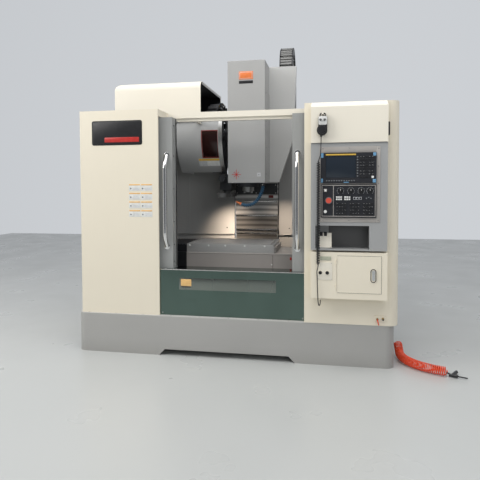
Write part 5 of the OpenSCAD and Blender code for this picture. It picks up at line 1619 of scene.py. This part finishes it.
@dataclass
class Magazine(SubAssembly):
    """Window frame, blank label and rim of the guard, the pots' caps, and dark sheets inside the hood that are painted
    shade.
    """

    axis_y: float = 145.0
    axis_z: float = 1870.0
    radius: float = 430.0
    circle: float = 318.0
    pots: int = 24
    dots: int = 12

    def arc(self, piece: Piece, x: Pair, z: Pair, rise: float, finish: Finish, steps: int = 8) -> None:
        """Adds a plate that lies on the guard's drum.

        Args:
            piece: the piece that takes it.
            x: its left and right edges.
            z: its lower and upper edges.
            rise: its thickness.
            finish: its finish.
            steps: facets along the curve.
        """
        low, high = (math.asin((v - self.axis_z) / self.radius) for v in z)
        outline = []
        for r, order in ((self.radius - 0.4, range(steps + 1)), (self.radius + rise, range(steps, -1, -1))):
            for k in order:
                a = low + (high - low) * k / steps
                outline.append((self.axis_y - r * math.cos(a), self.axis_z + r * math.sin(a)))
        piece.plate(outline, Axis.X, x[0], x[1], finish)

    def guard(self) -> None:
        """Makes the guard's window frame, its blank label and its rim."""
        p = self.shop.piece("guard_trim")
        for x0, x1, z0, z1 in ((-409, -400, 1652, 1910), (-252, -243, 1652, 1910),
                               (-400, -252, 1652, 1661), (-400, -252, 1901, 1910)):
            self.arc(p, (x0, x1), (z0, z1), 1.6, WINE)
        self.arc(p, (-452, -243), (1578, 1648), 0.9, LIGHT_GREY)
        self.arc(p, (-450, -245), (1628, 1647), 1.2, YELLOW)
        self.arc(p, (-372, -250), (1582, 1624), 1.2, WHITE)
        p.done(50.0)
        rim = self.shop.piece("guard_rim")
        self.arc(rim, (-243, -207.5), (1524, 1998), 5.2, STEEL_Z, 28)
        rim.done(50.0)

    def caps(self) -> None:
        """Sets a cap on every pot and a dot on every other, by the ring rule."""
        cap = self.shop.part("pot_caps")
        cap.bar((0, 0, 0), Axis.X, 1.6, 12.5, LIP_STEEL, 0.5, 20)
        cap.bar((1.4, 0, 0), Axis.X, 1.4, 6, LIP_STEEL, 0.3, 12)
        dot = self.shop.part("pot_dots")
        dot.box((0, -5, 24), (1.5, 5, 34), YELLOW, 0.4)
        for name, part, finish, count, x in (("pot_caps", cap, LIP_STEEL, self.pots, -266),
                                             ("pot_dots", dot, YELLOW, self.dots, -290)):
            centre = [c * MM for c in (x, self.axis_y, self.axis_z)]
            self.shop.run(self.shop.ring, name, [UNTURNED], finish, Body.DISC, part,
                          Count=count, Radius=self.circle * MM, Centre=centre)

    def hood(self) -> None:
        """Makes dark sheets inside the hood, painted shade, and the rim of its opening."""
        shade_sheets = self.shop.piece("hood_lining")
        # Painted shade: near-black sheets on the hood's back, top, side and front, inside.
        shade_sheets.box((-1180, 552, 2030), (-412, 559, 2364), BLACK_AND_PAINTED_SHADE)
        shade_sheets.box((-1180, -220, 2364), (-412, 552, 2371), BLACK_AND_PAINTED_SHADE)
        shade_sheets.box((-1188, -220, 2030), (-1180, 552, 2364), BLACK_AND_PAINTED_SHADE)
        shade_sheets.box((-1180, -296, 2030), (-412, -289, 2290), BLACK_AND_PAINTED_SHADE)
        shade_sheets.done()
        rim = self.shop.piece("hood_rim")
        rim.box((-410, -225, 2350), (-407.4, 545, 2371), HEAD_GREY, 0.5)
        rim.box((-410, 541, 2030), (-407.4, 560, 2350), HEAD_GREY, 0.5)
        rim.done()

    def build(self) -> None:
        """Makes the magazine's pieces."""
        self.guard()
        self.caps()
        self.hood()


@dataclass
class Chamber(SubAssembly):
    """Seams, seals, upper edge and bolts of the chamber's back wall."""

    wall: float = 303.0
    guard_left: float = -650.0

    def build(self) -> None:
        """Makes the wall's pieces."""
        p = self.shop.piece("wall_seams")
        y = self.wall
        p.strips((y - 3.2, y + 0.3), ((-700, -690, 890, 1488), (-1010, -700, 934, 940)), GREY, 1.2)
        rows = ((-690, -687, 890, 1488), (-613, -608, 890, 1488), (-1010, -700, 929, 934))
        p.strips((y - 1.2, y + 0.3), rows, BLACK)
        p.done()
        seals = self.shop.piece("wall_edge_seals")
        seals.strips((y - 1.6, y + 0.2), ((-206, -197, 790, 1488), (257, 266, 790, 1488)), RUBBER, 0.5)
        seals.done()
        edge = self.shop.piece("wall_upper_edge")
        x = self.guard_left
        # The upper edge is in the chamber's grey, which is painted shade.
        for x0, x1, top, bevel in ((-1017, x - 0.4, 1960, 0.5), (x - 1, x + 4, 1518, 0.0),
                                   (x + 3.4, -313, 1545, 0.5)):
            edge.box((x0, y, 1490), (x1, y + 3, top), LINER_PAINTED_SHADE, bevel)
        edge.done()
        self.shop.screws("wall_bolts", [(-286.7, y, 948), (372, y, 946)], 7.0, finish=BLACK)


@dataclass
class TableDress(SubAssembly):
    """Screws along the table's front, the trim of its front cover, and near-black bellows on the left shield that are
    painted shadow.
    """

    front: float = -570.0
    cover_front: float = -579.0
    bellows_x: Pair = (-790.0, -470.0)
    bellows_y: Pair = (-560.0, -100.0)
    bellows_z: float = 868.0
    bellows_foot: float = 797.2
    fold: float = 9.0
    pleats: int = 24

    def build(self) -> None:
        """Makes the table's pieces."""
        points = [(x, self.front, 858) for x in (-441, -268, -117, 57, 233)]
        self.shop.screws("table_screws", points, 8.5, Body.TABLE, WHITE)
        p = self.shop.piece("front_cover_trim", Body.TABLE)
        p.box((303.6, self.cover_front - 1, 655), (306.4, self.cover_front + 0.2, 786), BLACK)
        p.label((452, 468), (745, 768), self.cover_front, 1.0, RED, 3)
        p.done()
        x0, x1 = self.bellows_x
        top, foot = self.bellows_z, self.bellows_foot
        folds = [(x1, top), (x1, foot), (x0, foot), (x0, top - 2)]
        for k in range(1, self.pleats):
            folds.append((x0 + (x1 - x0) * k / self.pleats, top - self.fold * (k % 2)))
        # Near-black bellows on the left: painted shadow for the deep shade there.
        bellows = self.shop.piece("table_bellows", Body.TABLE)
        bellows.plate(folds, Axis.Y, *self.bellows_y, BLACK_AND_PAINTED_SHADE)
        bellows.done(20.0)
        self.shop.screws("front_cover_screws", [(295, self.cover_front, 701)], 6.0, Body.TABLE, WHITE)


@dataclass
class Doors(SubAssembly):
    """Screws and seals on the doors' inner edges."""

    left_x: float = -476.0
    right_x: float = 502.0
    screw_y: float = -905.0
    screw_z: tuple[float, ...] = (760.0, 900.0, 1090.0, 1360.0, 1630.0, 1880.0)
    seal: float = 2.4
    seal_y: Pair = (-850.0, -826.0)
    seal_z: Pair = (712.0, 1940.0)

    def build(self) -> None:
        """Makes the doors' pieces."""
        for side, body, x, sign in (("left", Body.LEFT_DOOR, self.left_x, 1),
                                    ("right", Body.RIGHT_DOOR, self.right_x, -1)):
            points = [(x, self.screw_y, z) for z in self.screw_z]
            self.shop.screws(side + "_edge_screws", points, 5.0, body, BLACK, Axis.X, sign)
            p = self.shop.piece(side + "_seal", body)
            p.strips(self.seal_y, ((*sorted((x, x + self.seal * sign)), *self.seal_z),), RUBBER, 0.6)
            p.done()


@dataclass
class Handle(SubAssembly):
    """A door's bow handle: a round bar whose ends bend smoothly back to the door."""

    node: str
    body: Body
    x: float
    radius: float = 17.5
    low: float = 886.0
    high: float = 1634.0
    bend: float = 118.0
    front: float = -935.0
    out: float = -983.0
    steps: int = 12

    def build(self) -> None:
        """Sweeps the bar and sets its end discs."""
        line: list[Point] = []
        for end, way in ((self.low, 1), (self.high, -1)):
            half = []
            for k in range(self.steps + 1):
                share = k / self.steps
                rise = math.sin(share * math.pi / 2) ** 1.1
                half.append((self.x, self.front + 1 + (self.out - self.front - 1) * rise,
                             end + way * self.bend * share))
            line += half[::way]
        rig.replaces(self.shop.tube(self.node + "_bar", line, self.radius, CHROME, self.body, 32), self.node)
        discs = self.shop.piece(self.node + "_seats", self.body)
        for z in (self.low, self.high):
            discs.bar((self.x, self.front + 1, z), Axis.Y, -4.5, self.radius + 7, CHROME, 1.2, 32)
        discs.done()


@dataclass
class Apron(SubAssembly):
    """The blank strip on the polished apron and its bright upper edge."""

    face: float = -965.0

    def build(self) -> None:
        """Makes the strip, the edge and the screws."""
        p = self.shop.piece("apron_strip")
        p.label((-417, 377), (538, 635), self.face, 1.0, STRIP, 4)
        p.label((-402, -314), (569, 625), self.face - 1.0, 0.5, SAND, 4)
        p.label((-398, -318), (558, 566), self.face - 1.0, 0.4, BLACK, 1)
        p.done()
        edge = self.shop.piece("apron_edge")
        edge.box((-577, self.face - 1.2, 698), (597, self.face + 0.3, 706), LIP_STEEL, 0.4)
        edge.done()
        self.shop.screws("apron_screws", [(x, self.face, 345) for x in (-560, 585)], 5.0)


@dataclass
class AirPanel(SubAssembly):
    """Blank plate round the air outlets, and the short line that goes down behind the pan's edge."""

    face: float = -1008.0
    route: tuple[Point, ...] = ((1145, -1029, 377), (1146, -1036, 371), (1150, -1030, 352),
                                (1155, -1012, 336), (1157, -998, 329))

    def build(self) -> None:
        """Makes the plate and the line."""
        p = self.shop.piece("outlet_plate")
        p.label((1121, 1210), (355, 402), self.face, 0.6, CREAM, 3)
        for x in (1145, 1186):
            p.bar((x, self.face - 21.2, 377), Axis.Y, -0.8, 6.6, BLACK, 0.2)
        p.done()
        self.shop.tube("air_line", smooth_line(self.route, 6), 4.2, COIL_RED, sides=10)


@dataclass
class Deck(SubAssembly):
    """Screws along the front of the pan's deck."""

    reach: int = 1200
    pitch: int = 240
    y: float = -993.0
    z: float = 326.0

    def build(self) -> None:
        """Makes the deck screws."""
        points = [(x, self.y, self.z) for x in range(-self.reach, self.reach + 1, self.pitch)]
        self.shop.screws("deck_screws", points, 5.0, axis=Axis.Z, sign=1)


@dataclass
class Machine:
    """Builds the whole look in order."""

    shop: Workshop = field(default_factory=Workshop)
    studio: Studio = field(default_factory=Studio)

    def build(self) -> list[str]:
        """Builds everything.

        Returns:
            The names of the pieces made.
        """
        self.studio.camera()
        cords = Cords(self.shop)
        cords.pendant()
        cords.air_hose()
        dress_nodes(self.shop.finishes)
        for part in (LeftCoverPlates, Console, LowerBox, Pendant, HeadDress, JointedHose, WayCovers, Magazine,
                     Chamber, TableDress, Doors, Apron, AirPanel, Deck):
            part(self.shop).build()
        Handle(self.shop, "left_handle", Body.LEFT_DOOR, -526.0).build()
        Handle(self.shop, "right_handle", Body.RIGHT_DOOR, 542.0).build()
        self.studio.build()
        return self.shop.made


def write_sizes() -> None:
    """Writes the model's size before and after dressing."""
    rows = {"cad": BOUNDS_BEFORE, "visual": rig.bounds()}
    with open(SIZE_FILE, "w", encoding="utf-8") as out:
        json.dump(rows, out, indent=1, default=lambda v: [list(x) if hasattr(x, "__iter__") else x for x in v])


def main() -> None:
    """Builds the scene and reports its pieces."""
    logging.basicConfig(level=logging.INFO, format="%(message)s")
    names = Machine().build()
    for name in names:
        LOG.info("piece %s", name)
    LOG.info("%d pieces", len(names))
    write_sizes()


if __name__ == "__main__":
    main()
